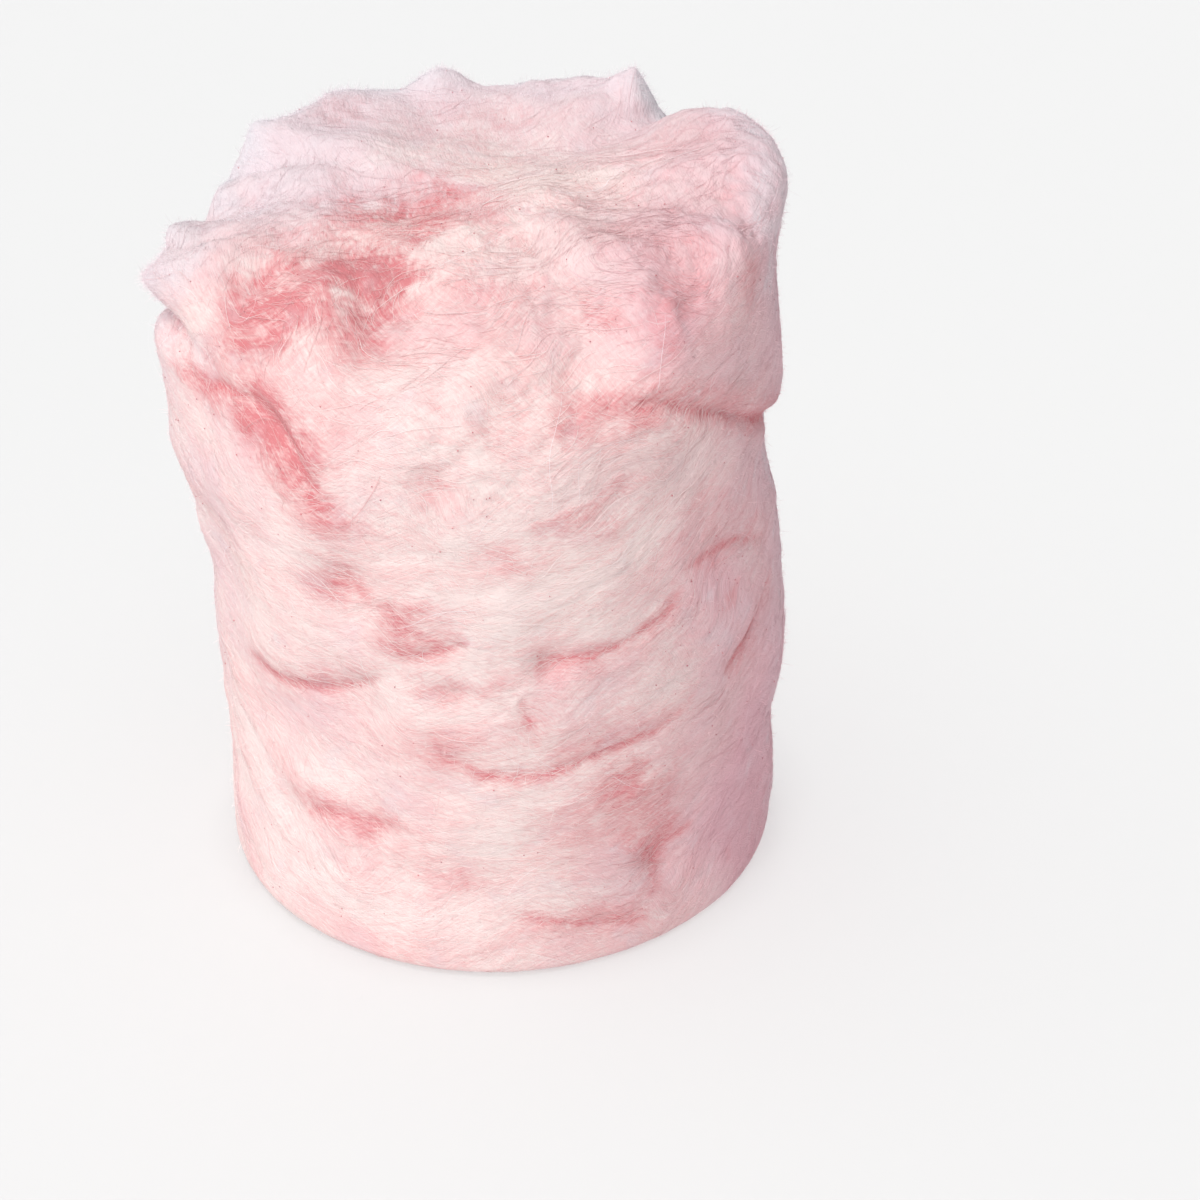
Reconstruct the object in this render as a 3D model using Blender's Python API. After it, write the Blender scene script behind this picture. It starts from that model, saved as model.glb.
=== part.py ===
"""A block of cotton candy as it stands when its tub has been lifted off.

One solid of spun sugar floss: a straight round wall that took the tub's shape, with creases
where the layers of floss were folded in, under a crown that has been plucked open. The wall and
the crown are one skin. Each column of the skin runs up the wall, over a rounded shoulder and in
to the middle of the crown, and the creases, hollows, pits and tufts push that skin in or out.

Angles are in degrees round the block. 0 is the front (-Y) and 90 is the right (+X).
Lengths are in millimetres until the mesh is written, which is in metres.
"""

import math

import bmesh
import bpy
import numpy as np
from mathutils import Vector, noise

# Driving dimensions

WALL_RADIUS = 55.0
CROWN_HEIGHT = 132.0
BASE_ROUNDING = 1.6

# How finely the skin is cut

COLUMNS = 108
ROWS = 52
SAMPLES_PER_PART = 60

# How far the wall stands from its plain radius: one list for each angle, of (height, difference)
WALL_LEAN = {
    -150: [(0, 0.2), (60, -0.6), (100, -1.5), (130, -4.0)],
    -102: [(0, 0.5), (50, -0.6), (80, 0.2), (108, 0.4), (126, -2.2)],
    -77: [
        (0, 0.8), (20, 0.0), (50, -0.6), (64, -1.0), (78, 1.0), (92, 4.2), (109, 4.6), (114, 0.4),
        (126, -1.0),
    ],
    -40: [(0, 1.0), (20, 0.2), (60, -0.2), (92, 1.2), (112, 0.4), (128, -1.0)],
    0: [(0, 1.3), (18, 0.4), (70, 0.0), (104, -0.6), (128, -2.5)],
    45: [(0, 0.8), (20, 0.0), (60, 0.0), (85, -1.4), (104, -1.5), (128, -2.5)],
    85: [
        (0, 0.3), (30, -0.2), (43, 1.8), (60, -0.4), (72, -2.0), (88, -4.2), (98, -1.6), (122, -4.0),
        (136, -2.6),
    ],
    112: [(0, 0.2), (40, 0.2), (90, -2.2), (110, -2.6), (137, -1.6)],
    150: [(0, 0.2), (50, 0.4), (100, -1.6), (137, -3.6)],
}

# The crown's edge: angle, height of the edge, height where the shoulder starts, and how square
# the shoulder is (0 to 1)
CROWN_EDGE = [
    (-150, 140.2, 128.0, 0.74),
    (-120, 139.0, 126.0, 0.72),
    (-108, 132.0, 119.0, 0.62),
    (-92, 128.0, 115.0, 0.60),
    (-75, 129.0, 112.0, 0.62),
    (-45, 127.5, 103.0, 0.50),
    (-12, 126.5, 98.0, 0.30),
    (20, 128.5, 98.0, 0.28),
    (42, 135.0, 110.0, 0.54),
    (66, 138.0, 120.0, 0.66),
    (90, 140.8, 127.0, 0.78),
    (115, 141.8, 130.0, 0.84),
    (135, 137.0, 127.0, 0.74),
    (150, 142.0, 129.0, 0.74),
    (180, 140.0, 128.0, 0.74),
]

# Tufts that stand off the skin: angle, radius, height, reach, how far out and how far up they pull
TUFTS = [
    (-77, 54.0, 121.5, 6.0, 6.0, 0.5),
    (-86, 50.5, 127.0, 5.0, 7.5, 4.0),
    (-117, 48.5, 138.0, 5.0, 2.0, 2.5),
    (-139, 47.0, 139.0, 6.0, 1.5, 2.5),
    (-152, 47.0, 139.0, 5.0, 0.5, -1.0),
    (-166, 46.0, 138.5, 5.5, 0.5, 7.5),
    (143, 46.0, 138.0, 5.0, 0.5, 7.5),
    (133, 48.0, 138.0, 5.5, 0.0, -2.5),
]

# Gaps between layers: depth, half width, how far the layer above rolls out, and the route as
# (angle, height) up the wall
CREASES = [
    # the plucked gap at the upper left, over the flared skin
    (
        4.4, 6.0, 0.5,
        [(-58, 110.8), (-46, 110.0), (-39.5, 108.5), (-34.5, 105.0), (-31.5, 100.5), (-28, 95.5)],
    ),
    (5.4, 4.0, 0.3, [(-96, 115.5), (-79, 114.5), (-64, 111.5), (-50, 110.3)]),
    # the deep fold at the right that falls towards the back
    (
        4.0, 4.2, 1.3,
        [
            (17, 113.8), (24, 112.5), (35, 111.2), (43, 108.0), (52, 104.0), (62, 99.5), (85, 90.5),
            (104, 88.0),
        ],
    ),
    (2.6, 4.0, 1.2, [(-52, 58.0), (-45, 56.2), (-40, 56.2), (-33, 57.7), (-26, 60.0), (-17, 63.6)]),
    (1.8, 3.8, 0.5, [(-17, 80.0), (-15, 76.5), (-12, 72.5)]),
    (2.4, 3.8, 1.0, [(-15, 68.4), (-7.6, 70.3), (-2, 72.8)]),
    (2.2, 3.8, 1.2, [(11, 67.0), (20, 68.0), (29, 69.5), (35, 71.8), (39, 76.0)]),
    (1.8, 3.8, 0.9, [(39, 78.5), (45, 80.2), (55, 79.0), (70, 72.5)]),
    (2.8, 4.0, 0.9, [(72, 65.0), (66, 60.5), (60, 55.5), (52, 52.0)]),
    (2.2, 3.9, 1.2, [(-10, 54.0), (-8, 49.0), (0, 44.8), (10, 44.9), (22, 47.4), (33, 48.8), (42, 53.0)]),
    (1.4, 2.2, 0.3, [(6.6, 62.0), (8.6, 54.5), (10, 50.5)]),
    (1.5, 3.8, 0.6, [(2, 14.0), (14, 11.0), (24, 8.5), (32, 6.5)]),
    (1.6, 3.8, 0.6, [(-42, 27.0), (-36, 29.5), (-28, 31.3), (-18, 32.2)]),
    (1.4, 3.8, 0.4, [(33, 17.0), (35, 21.0), (43, 23.5)]),
    # the back has the same kind of folds
    (2.6, 4.0, 1.2, [(-132, 88.0), (-116, 83.0), (-98, 84.5), (-84, 90.0)]),
    (2.2, 3.9, 1.0, [(-118, 52.0), (-104, 47.0), (-88, 48.0), (-74, 52.5)]),
    (2.6, 4.0, 1.2, [(108, 64.0), (124, 58.5), (142, 59.5), (158, 66.0)]),
    (3.0, 4.1, 1.5, [(128, 104.0), (146, 108.5), (166, 107.0), (188, 99.0), (206, 97.0)]),
    (2.2, 3.9, 1.0, [(98, 31.0), (116, 26.0), (134, 27.5), (150, 33.0)]),
    (2.4, 4.0, 1.1, [(172, 46.0), (190, 40.5), (208, 43.0), (224, 51.0)]),
    (1.8, 3.8, 0.8, [(196, 74.0), (212, 70.0), (228, 71.5), (240, 75.5)]),
]

# Soft dimples in the wall: angle, height, half width, half height, depth
DIMPLES = [
    (-24.5, 80.0, 6.5, 5.5, 2.2),
    (12.0, 67.5, 3.4, 3.4, 2.2),
    (20.0, 116.0, 11.0, 4.2, 2.6),
    (2.7, 113.8, 3.4, 3.2, 1.2),
    (-7.0, 100.8, 4.0, 4.0, 1.4),
    (34.0, 19.5, 4.5, 6.5, 1.6),
    (-6.0, 62.0, 5.0, 3.0, 1.2),
    (-58.0, 74.0, 8.0, 9.0, 1.4),
    (58.0, 40.0, 9.0, 8.0, 1.2),
    (140.0, 82.0, 10.0, 9.0, 2.0),
    (-160.0, 62.0, 11.0, 8.0, 2.0),
    (-104.0, 66.0, 9.0, 7.0, 1.6),
    (170.0, 20.0, 10.0, 7.0, 1.6),
]

# Pits plucked out of the crown: middle (x, y), half width, half length, turn and depth
PITS = [
    (-35.0, -32.0, 5.0, 8.5, 62.0, 5.0),
    (-14.5, -31.0, 6.5, 7.5, 20.0, 6.0),
    (-13.5, -5.0, 9.0, 6.5, -20.0, 4.5),
    (-1.0, -8.0, 6.5, 5.5, 15.0, 2.0),
    (-37.0, -18.0, 4.6, 10.0, -40.0, 3.0),
    (8.0, 24.0, 9.0, 15.0, 80.0, 1.8),
    (-26.0, 26.0, 9.0, 8.0, 30.0, 2.0),
    (30.0, 6.0, 7.0, 11.0, 25.0, 2.0),
]

# Rolled ridges on the crown: rise, half width, and the route as (x, y)
RIDGES = [
    (2.0, 6.0, [(8.0, -31.0), (16.0, -27.5), (24.0, -23.5), (32.0, -21.0), (39.0, -25.0), (43.0, -32.0)]),
    (0.6, 7.0, [(-2.0, -34.0), (10.0, -24.0), (22.0, -10.0), (34.0, -2.0)]),
    (0.6, 5.0, [(-30.0, -6.0), (-20.0, -12.0), (-4.0, -12.0), (12.0, -4.0)]),
    (2.4, 5.0, [(-46.0, -12.0), (-40.0, -27.0), (-26.0, -29.0), (-22.0, -46.0)]),
]

# The uneven swell of the whole block: size of the lumps and how far they stand
SWELLS = [(34.0, 1.3), (15.0, 0.75), (8.0, 0.35)]
CROWN_SWELL = 1.7
NOISE_SEED = Vector((3.7, 11.2, 5.9))

# Colours as the floss looks in soft daylight
FLOSS_PINK = (0.93, 0.66, 0.67, 1.0)
FLOSS_ROUGHNESS = 0.92

MM = 0.001


def between(keys, place):
    """The value at a place in (place, value) keys, eased from one key to the next."""
    places = [key[0] for key in keys]
    if place <= places[0]:
        return keys[0][1]
    if place >= places[-1]:
        return keys[-1][1]
    after = next(i for i, p in enumerate(places) if p > place)
    low, high = keys[after - 1], keys[after]
    share = (place - low[0]) / (high[0] - low[0])
    share = share * share * (3 - 2 * share)
    return low[1] + (high[1] - low[1]) * share


def around(angles, angle):
    """The two keyed angles on either side of an angle, and how far it is from the first."""
    ordered = sorted(angles)
    if angle < ordered[0]:
        angle += 360.0
    ring = ordered + [ordered[0] + 360.0]
    after = next(i for i, a in enumerate(ring) if a > angle)
    low, high = ring[after - 1], ring[after]
    share = (angle - low) / (high - low)
    share = share * share * (3 - 2 * share)
    return low, high if high <= 180.0 else high - 360.0, share


def wall_radius(angle, height):
    low, high, share = around(WALL_LEAN, angle)
    lean = between(WALL_LEAN[low], height) * (1 - share) + between(WALL_LEAN[high], height) * share
    return WALL_RADIUS + lean


def crown_edge(angle):
    """The crown's edge at an angle: its height, the shoulder's start and its squareness."""
    keys = {key[0]: key[1:] for key in CROWN_EDGE}
    low, high, share = around(keys, angle)
    return tuple(a * (1 - share) + b * share for a, b in zip(keys[low], keys[high]))


def column(angle):
    """Points (radius, height) up the wall, over the shoulder and in to the crown's middle."""
    edge_height, start, squareness = crown_edge(angle)
    points = []
    steps = np.linspace(0.0, 1.0, SAMPLES_PER_PART)
    for share in steps:
        turn = share * math.pi / 2
        height = BASE_ROUNDING * (1 - math.cos(turn))
        radius = wall_radius(angle, height) - BASE_ROUNDING * (1 - math.sin(turn))
        points.append((radius, height))
    for share in steps[1:]:
        height = BASE_ROUNDING + share * (start - BASE_ROUNDING)
        points.append((wall_radius(angle, height), height))
    power = 1.0 - 0.72 * squareness
    for share in steps[1:]:
        turn = share * math.pi / 2
        inward = math.cos(turn) ** power
        upward = math.sin(turn) ** power
        height = start + (edge_height - start) * upward
        # the crown sinks from its edge to the middle
        height += (CROWN_HEIGHT - edge_height) * (1 - inward**2) ** 1.3 * upward
        points.append((wall_radius(angle, height) * inward, height))
    return np.array(points)


def evenly(points, count):
    """The same line with its points an even distance apart."""
    steps = np.hypot(*np.diff(points, axis=0).T)
    along = np.concatenate([[0.0], np.cumsum(steps)])
    wanted = np.linspace(0.0, along[-1], count)
    return np.stack([np.interp(wanted, along, points[:, i]) for i in (0, 1)], axis=-1)


def plain_skin(columns, rows):
    """Places of the smooth skin as rows x columns x 3, from the foot of the wall to the crown."""
    angles = -180.0 + 360.0 * np.arange(columns) / columns
    skin = np.empty((rows, columns, 3))
    for i, angle in enumerate(angles):
        line = evenly(column(angle), rows)
        turn = math.radians(angle)
        skin[:, i, 0] = line[:, 0] * math.sin(turn)
        skin[:, i, 1] = -line[:, 0] * math.cos(turn)
        skin[:, i, 2] = line[:, 1]
    return skin


def outward(skin):
    """Unit normals of the skin."""
    across = np.roll(skin, -1, axis=1) - np.roll(skin, 1, axis=1)
    up = np.gradient(skin, axis=0)
    normal = np.cross(across, up)
    normal[-1] = (0.0, 0.0, 1.0)
    return normal / np.linalg.norm(normal, axis=-1, keepdims=True)


def unrolled(angle, height):
    """Where a spot on the wall lies on the wall unrolled flat, in millimetres."""
    return np.stack([np.radians(angle) * WALL_RADIUS, height], axis=-1)


def beside(route, places):
    """Distance from a route, signed (positive on its left), and how near its ends each place is."""
    best = np.full(places.shape[:-1], np.inf)
    side = np.ones(places.shape[:-1])
    along = np.zeros(places.shape[:-1])
    lengths = np.hypot(*np.diff(route, axis=0).T)
    start = np.concatenate([[0.0], np.cumsum(lengths)])
    for i, length in enumerate(lengths):
        a, b = route[i], route[i + 1]
        direction = (b - a) / length
        offset = places - a
        share = np.clip(offset @ direction, 0.0, length)
        gap = offset - share[..., None] * direction
        distance = np.hypot(gap[..., 0], gap[..., 1])
        nearer = distance < best
        best = np.where(nearer, distance, best)
        turn = direction[0] * offset[..., 1] - direction[1] * offset[..., 0]
        side = np.where(nearer, np.sign(turn), side)
        along = np.where(nearer, (start[i] + share) / start[-1], along)
    return best * side, np.sin(along * math.pi).clip(0.0, 1.0) ** 0.5


def wrapped(angle, middle):
    """Angles brought within half a turn of a middle."""
    return (angle - middle + 180.0) % 360.0 - 180.0 + middle


def bell(distance, half_width):
    return np.exp(-((distance / half_width) ** 2))


def crease_push(angle, height):
    """How far the creases push the wall out, in millimetres."""
    push = np.zeros_like(angle)
    for depth, half_width, roll, route in CREASES:
        middle = (route[0][0] + route[-1][0]) / 2
        places = unrolled(wrapped(angle, middle), height)
        line = np.array([unrolled(a, h) for a, h in route])
        distance, strength = beside(line, places)
        if line[0][0] > line[-1][0]:
            distance = -distance
        above = bell(distance - 2.6 * half_width, 2.2 * half_width)
        push += strength * (roll * above - depth * bell(distance, half_width))
    return push


def dimple_push(angle, height):
    push = np.zeros_like(angle)
    for middle, level, half_width, half_height, depth in DIMPLES:
        across = np.radians(wrapped(angle, middle) - middle) * WALL_RADIUS
        push -= depth * bell(across, half_width) * bell(height - level, half_height)
    return push


def crown_push(x, y):
    """How far the pits and ridges push the crown up."""
    push = np.zeros_like(x)
    for middle_x, middle_y, half_width, half_length, turn, depth in PITS:
        c, s = math.cos(math.radians(turn)), math.sin(math.radians(turn))
        across = c * (x - middle_x) + s * (y - middle_y)
        along = -s * (x - middle_x) + c * (y - middle_y)
        push -= depth * bell(across, half_width) * bell(along, half_length)
    for rise, half_width, route in RIDGES:
        distance, strength = beside(np.array(route), np.stack([x, y], axis=-1))
        push += rise * strength * bell(distance, half_width)
    return push


def swell(skin):
    """Soft lumps all over the block, as a push for each place."""
    push = np.empty(skin.shape[:2])
    for place in np.ndindex(push.shape):
        point = Vector(skin[place])
        push[place] = sum(
            rise * noise.noise(point / size + NOISE_SEED * (i + 1))
            for i, (size, rise) in enumerate(SWELLS)
        )
    return push


def pull_tufts(skin):
    """The skin with its tufts drawn out."""
    drawn = skin.copy()
    for angle, radius, height, reach, out, up in TUFTS:
        turn = math.radians(angle)
        away = np.array([math.sin(turn), -math.cos(turn), 0.0])
        middle = away * radius + np.array([0.0, 0.0, height])
        share = bell(np.linalg.norm(skin - middle, axis=-1), reach)
        drawn += share[..., None] * (away * out + np.array([0.0, 0.0, up]))
    return drawn


def floss_skin(columns, rows):
    """The finished skin as rows x columns x 3."""
    skin = plain_skin(columns, rows)
    normal = outward(skin)
    x, y, height = np.moveaxis(skin, -1, 0)
    angle = np.degrees(np.arctan2(x, -y))
    facing_up = np.clip(normal[..., 2], 0.0, 1.0)
    on_crown = np.clip((facing_up - 0.25) / 0.5, 0.0, 1.0)
    off_foot = np.clip(height / (5 * BASE_ROUNDING), 0.0, 1.0)
    push = (crease_push(angle, height) + dimple_push(angle, height)) * (1 - on_crown)
    push += crown_push(x, y) * on_crown
    push += swell(skin) * (1 + (CROWN_SWELL - 1) * on_crown)
    skin = skin + normal * (push * off_foot)[..., None]
    skin = pull_tufts(skin)
    # every column ends in the same point in the middle of the crown
    skin[-1] = skin[-2].mean(axis=0)
    return skin


def floss_material():
    material = bpy.data.materials.new("floss")
    material.use_nodes = True
    shader = material.node_tree.nodes["Principled BSDF"]
    shader.inputs["Base Color"].default_value = FLOSS_PINK
    shader.inputs["Roughness"].default_value = FLOSS_ROUGHNESS
    shader.inputs["Metallic"].default_value = 0.0
    return material


def block_mesh(skin):
    """A closed mesh of the skin with a flat foot, centred over its own base."""
    rows, columns = skin.shape[:2]
    low, high = skin.reshape(-1, 3).min(axis=0), skin.reshape(-1, 3).max(axis=0)
    middle = Vector(((low[0] + high[0]) / 2, (low[1] + high[1]) / 2, 0.0))
    mesh = bmesh.new()
    ring = [[mesh.verts.new((Vector(p) - middle) * MM) for p in row] for row in skin[:-1]]
    crown = mesh.verts.new((Vector(skin[-1, 0]) - middle) * MM)
    for j in range(rows - 2):
        for i in range(columns):
            after = (i + 1) % columns
            corners = (ring[j][i], ring[j][after], ring[j + 1][after], ring[j + 1][i])
            mesh.faces.new(corners)
    for i in range(columns):
        mesh.faces.new((ring[-1][i], ring[-1][(i + 1) % columns], crown))
    mesh.faces.new(list(reversed(ring[0])))
    bmesh.ops.recalc_face_normals(mesh, faces=mesh.faces)
    bmesh.ops.triangulate(mesh, faces=mesh.faces, quad_method="SHORT_EDGE")
    return mesh


def main():
    for old in list(bpy.data.objects):
        bpy.data.objects.remove(old, do_unlink=True)
    mesh = block_mesh(floss_skin(COLUMNS, ROWS))
    data = bpy.data.meshes.new("cotton_candy")
    mesh.to_mesh(data)
    mesh.free()
    data.materials.append(floss_material())
    data.shade_smooth()
    block = bpy.data.objects.new("cotton_candy", data)
    bpy.context.scene.collection.objects.link(block)


main()
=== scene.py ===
"""The look of a block of cotton candy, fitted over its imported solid.

The skin of the block is worked out again from the same named shape as the solid, on a finer net,
with the combed relief of pulled sugar. The fibres are then laid along that skin: the matted floss
that lies on it, the fuzz that stands off it, the wisps at the torn rim, a few loose hairs and the
grains of sugar caught in it.
Shape sizes are in millimetres until a mesh is written. Angles run round the block in degrees, with
0 at the front (-Y) and 90 at the right (+X).
"""

import functools
import math

import bpy
import numpy as np
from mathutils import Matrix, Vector, noise


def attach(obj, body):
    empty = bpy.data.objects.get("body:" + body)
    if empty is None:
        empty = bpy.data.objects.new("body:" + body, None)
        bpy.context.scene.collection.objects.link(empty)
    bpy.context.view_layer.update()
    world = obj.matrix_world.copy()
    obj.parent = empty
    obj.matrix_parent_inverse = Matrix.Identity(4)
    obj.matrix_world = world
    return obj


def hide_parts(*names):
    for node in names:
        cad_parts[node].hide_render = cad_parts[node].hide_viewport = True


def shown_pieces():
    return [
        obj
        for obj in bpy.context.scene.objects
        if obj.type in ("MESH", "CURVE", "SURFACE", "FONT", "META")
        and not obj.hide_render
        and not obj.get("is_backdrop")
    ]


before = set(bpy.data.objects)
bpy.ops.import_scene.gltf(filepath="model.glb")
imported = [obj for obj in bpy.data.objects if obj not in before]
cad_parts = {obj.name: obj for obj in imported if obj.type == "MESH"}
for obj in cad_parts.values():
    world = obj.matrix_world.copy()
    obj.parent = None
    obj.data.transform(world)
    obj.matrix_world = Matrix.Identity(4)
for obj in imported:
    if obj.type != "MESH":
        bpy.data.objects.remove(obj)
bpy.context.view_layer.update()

bl_info = {
    "name": "Cotton candy",
    "version": (1, 0, 0),
    "blender": (4, 5, 0),
    "location": "3D View > Sidebar > Floss",
    "description": "Builds the skin, fibres and stage of a block of cotton candy",
    "category": "Add Mesh",
}

MM = 0.001
NODE = "cotton_candy"
MASKS = ("packing_and_shade", "tone", "haze_and_shade", "painted_shade", "mist")
# What starts each random draw. The frays' seed is one that keeps the blushes near their places
SEEDS = {
    "skin": 11, "frays": 2431, "matted": 23, "fuzz": 37, "wisps": 41, "hairs": 53, "grains": 67,
}

# The shape, as in the solid

WALL_RADIUS = 55.0
CROWN_HEIGHT = 132.0
BASE_ROUNDING = 1.6
SAMPLES_PER_PART = 60
SOLID_NET = (108, 52)
SKIN_NET = (440, 225)

# How far the wall stands from its plain radius: one list for each angle, of (height, difference)
WALL_LEAN = {
    -150: [(0, 0.2), (60, -0.6), (100, -1.5), (130, -4)],
    -102: [(0, 0.5), (50, -0.6), (80, 0.2), (108, 0.4), (126, -2.2)],
    -77: [
        (0, 0.8), (20, 0), (50, -0.6), (64, -1), (78, 1), (92, 4.2), (109, 4.6), (114, 0.4),
        (126, -1),
    ],
    -40: [(0, 1), (20, 0.2), (60, -0.2), (92, 1.2), (112, 0.4), (128, -1)],
    0: [(0, 1.3), (18, 0.4), (70, 0), (104, -0.6), (128, -2.5)],
    45: [(0, 0.8), (20, 0), (60, 0), (85, -1.4), (104, -1.5), (128, -2.5)],
    85: [
        (0, 0.3), (30, -0.2), (43, 1.8), (60, -0.4), (72, -2), (88, -4.2), (98, -1.6), (122, -4),
        (136, -2.6),
    ],
    112: [(0, 0.2), (40, 0.2), (90, -2.2), (110, -2.6), (137, -1.6)],
    150: [(0, 0.2), (50, 0.4), (100, -1.6), (137, -3.6)],
}

# The crown's edge: angle, height of the edge, height where the shoulder starts, and how square
# the shoulder is (0 to 1)
CROWN_EDGE = [
    (-150, 140.2, 128, 0.74),
    (-120, 139, 126, 0.72),
    (-108, 132, 119, 0.62),
    (-92, 128, 115, 0.60),
    (-75, 129, 112, 0.62),
    (-45, 127.5, 103, 0.50),
    (-12, 126.5, 98, 0.30),
    (20, 128.5, 98, 0.28),
    (42, 135, 110, 0.54),
    (66, 138, 120, 0.66),
    (90, 140.8, 127, 0.78),
    (115, 141.8, 130, 0.84),
    (135, 137, 127, 0.74),
    (150, 142, 129, 0.74),
    (180, 140, 128, 0.74),
]

# Tufts that stand off the skin: angle, radius, height, reach, how far out and how far up they pull
TUFTS = [
    (-77, 54, 121.5, 6, 6, 0.5),
    (-86, 50.5, 127, 5, 7.5, 4),
    (-117, 48.5, 138, 5, 2, 2.5),
    (-139, 47, 139, 6, 1.5, 2.5),
    (-152, 47, 139, 5, 0.5, -1),
    (-166, 46, 138.5, 5.5, 0.5, 7.5),
    (143, 46, 138, 5, 0.5, 7.5),
    (133, 48, 138, 5.5, 0, -2.5),
]

# Gaps between layers: depth, half width, how far the layer above rolls out, and the route as
# (angle, height) up the wall
CREASES = [
    # the plucked gap at the upper left, over the flared skin
    (
        4.4, 6, 0.5,
        [(-58, 110.8), (-46, 110), (-39.5, 108.5), (-34.5, 105), (-31.5, 100.5), (-28, 95.5)],
    ),
    (5.4, 4, 0.3, [(-96, 115.5), (-79, 114.5), (-64, 111.5), (-50, 110.3)]),
    # the deep fold at the right that falls towards the back
    (
        4, 4.2, 1.3,
        [
            (17, 113.8), (24, 112.5), (35, 111.2), (43, 108), (52, 104), (62, 99.5), (85, 90.5),
            (104, 88),
        ],
    ),
    (2.6, 4, 1.2, [(-52, 58), (-45, 56.2), (-40, 56.2), (-33, 57.7), (-26, 60), (-17, 63.6)]),
    (1.8, 3.8, 0.5, [(-17, 80), (-15, 76.5), (-12, 72.5)]),
    (2.4, 3.8, 1, [(-15, 68.4), (-7.6, 70.3), (-2, 72.8)]),
    (2.2, 3.8, 1.2, [(11, 67), (20, 68), (29, 69.5), (35, 71.8), (39, 76)]),
    (1.8, 3.8, 0.9, [(39, 78.5), (45, 80.2), (55, 79), (70, 72.5)]),
    (2.8, 4, 0.9, [(72, 65), (66, 60.5), (60, 55.5), (52, 52)]),
    (2.2, 3.9, 1.2, [(-10, 54), (-8, 49), (0, 44.8), (10, 44.9), (22, 47.4), (33, 48.8), (42, 53)]),
    (1.4, 2.2, 0.3, [(6.6, 62), (8.6, 54.5), (10, 50.5)]),
    (1.5, 3.8, 0.6, [(2, 14), (14, 11), (24, 8.5), (32, 6.5)]),
    (1.6, 3.8, 0.6, [(-42, 27), (-36, 29.5), (-28, 31.3), (-18, 32.2)]),
    (1.4, 3.8, 0.4, [(33, 17), (35, 21), (43, 23.5)]),
    # the back has the same kind of folds
    (2.6, 4, 1.2, [(-132, 88), (-116, 83), (-98, 84.5), (-84, 90)]),
    (2.2, 3.9, 1, [(-118, 52), (-104, 47), (-88, 48), (-74, 52.5)]),
    (2.6, 4, 1.2, [(108, 64), (124, 58.5), (142, 59.5), (158, 66)]),
    (3, 4.1, 1.5, [(128, 104), (146, 108.5), (166, 107), (188, 99), (206, 97)]),
    (2.2, 3.9, 1, [(98, 31), (116, 26), (134, 27.5), (150, 33)]),
    (2.4, 4, 1.1, [(172, 46), (190, 40.5), (208, 43), (224, 51)]),
    (1.8, 3.8, 0.8, [(196, 74), (212, 70), (228, 71.5), (240, 75.5)]),
]

# The creases' depth in the scene, as a share of their depth in the solid, and how much less of it
# the shallower ones keep: the painted shade of the crease colours does the rest
CREASE_SHARE = 0.5
DEEPEST_CREASE = 4.4
CREASE_FADE = 0.8
# The painted shade down in a crease, as the thin deep line and the soft blush beside it: share,
# how far above the crease, and half width
CREASE_SHADE_COLOURS = [(0.9, 0.0, 0.7), (0.32, 1.2, 3.6)]

# Soft dimples in the wall: angle, height, half width, half height, depth
DIMPLES = [
    (-24.5, 80, 6.5, 5.5, 2.2),
    (12, 67.5, 3.4, 3.4, 2.2),
    (20, 116, 11, 4.2, 2.6),
    (2.7, 113.8, 3.4, 3.2, 1.2),
    (-7, 100.8, 4, 4, 1.4),
    (34, 19.5, 4.5, 6.5, 1.6),
    (-6, 62, 5, 3, 1.2),
    (-58, 74, 8, 9, 1.4),
    (58, 40, 9, 8, 1.2),
    (140, 82, 10, 9, 2),
    (-160, 62, 11, 8, 2),
    (-104, 66, 9, 7, 1.6),
    (170, 20, 10, 7, 1.6),
]

# Pits plucked out of the crown: middle (x, y), half width, half length, turn and depth
PITS = [
    (-35, -32, 5, 8.5, 62, 5),
    (-14.5, -31, 6.5, 7.5, 20, 6),
    (-13.5, -5, 9, 6.5, -20, 4.5),
    (-1, -8, 6.5, 5.5, 15, 2),
    (-37, -18, 4.6, 10, -40, 3),
    (8, 24, 9, 15, 80, 1.8),
    (-26, 26, 9, 8, 30, 2),
    (30, 6, 7, 11, 25, 2),
]

# The pits' depth in the scene, as a share of their depth in the solid: the painted shade of the
# crown's blushes does the rest
PIT_SHARE = 0.42

# Rolled ridges on the crown: rise, half width, and the route as (x, y)
RIDGES = [
    (2, 6, [(8, -31), (16, -27.5), (24, -23.5), (32, -21), (39, -25), (43, -32)]),
    (0.6, 7, [(-2, -34), (10, -24), (22, -10), (34, -2)]),
    (0.6, 5, [(-30, -6), (-20, -12), (-4, -12), (12, -4)]),
    (2.4, 5, [(-46, -12), (-40, -27), (-26, -29), (-22, -46)]),
]

# The uneven swell of the whole block: size of the lumps and how far they stand
SWELLS = [(34, 1.3), (15, 0.75), (8, 0.35)]
CROWN_SWELL = 1.7
NOISE_SEED = Vector((3.7, 11.2, 5.9))

# The comb of the floss: how steeply it rises from the front towards the back
COMB_TILT = 0.45
# How far the comb wanders: size of the bends and how far they reach
COMB_BENDS = [(34, 7.0), (12, 1.6)]
# Places where the comb swoops up and over: angle, height, half width, half height and rise
SWOOPS = [
    (58, 88, 24, 15, 15),
    (-62, 40, 26, 22, 8),
    (-12, 60, 16, 12, -5),
    (150, 80, 30, 20, 12),
    (-140, 60, 30, 22, -10),
    (100, 36, 26, 16, -8),
]

# How near a crease, band or ridge the floss begins to run along it, how closely it follows on the
# wall and on the crown, and over how much of the comb
LINE_REACH = 7.0
LINE_PULL = 2.5
CROWN_PULL = 1.0
LINE_DEPTH = 9.0

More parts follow.
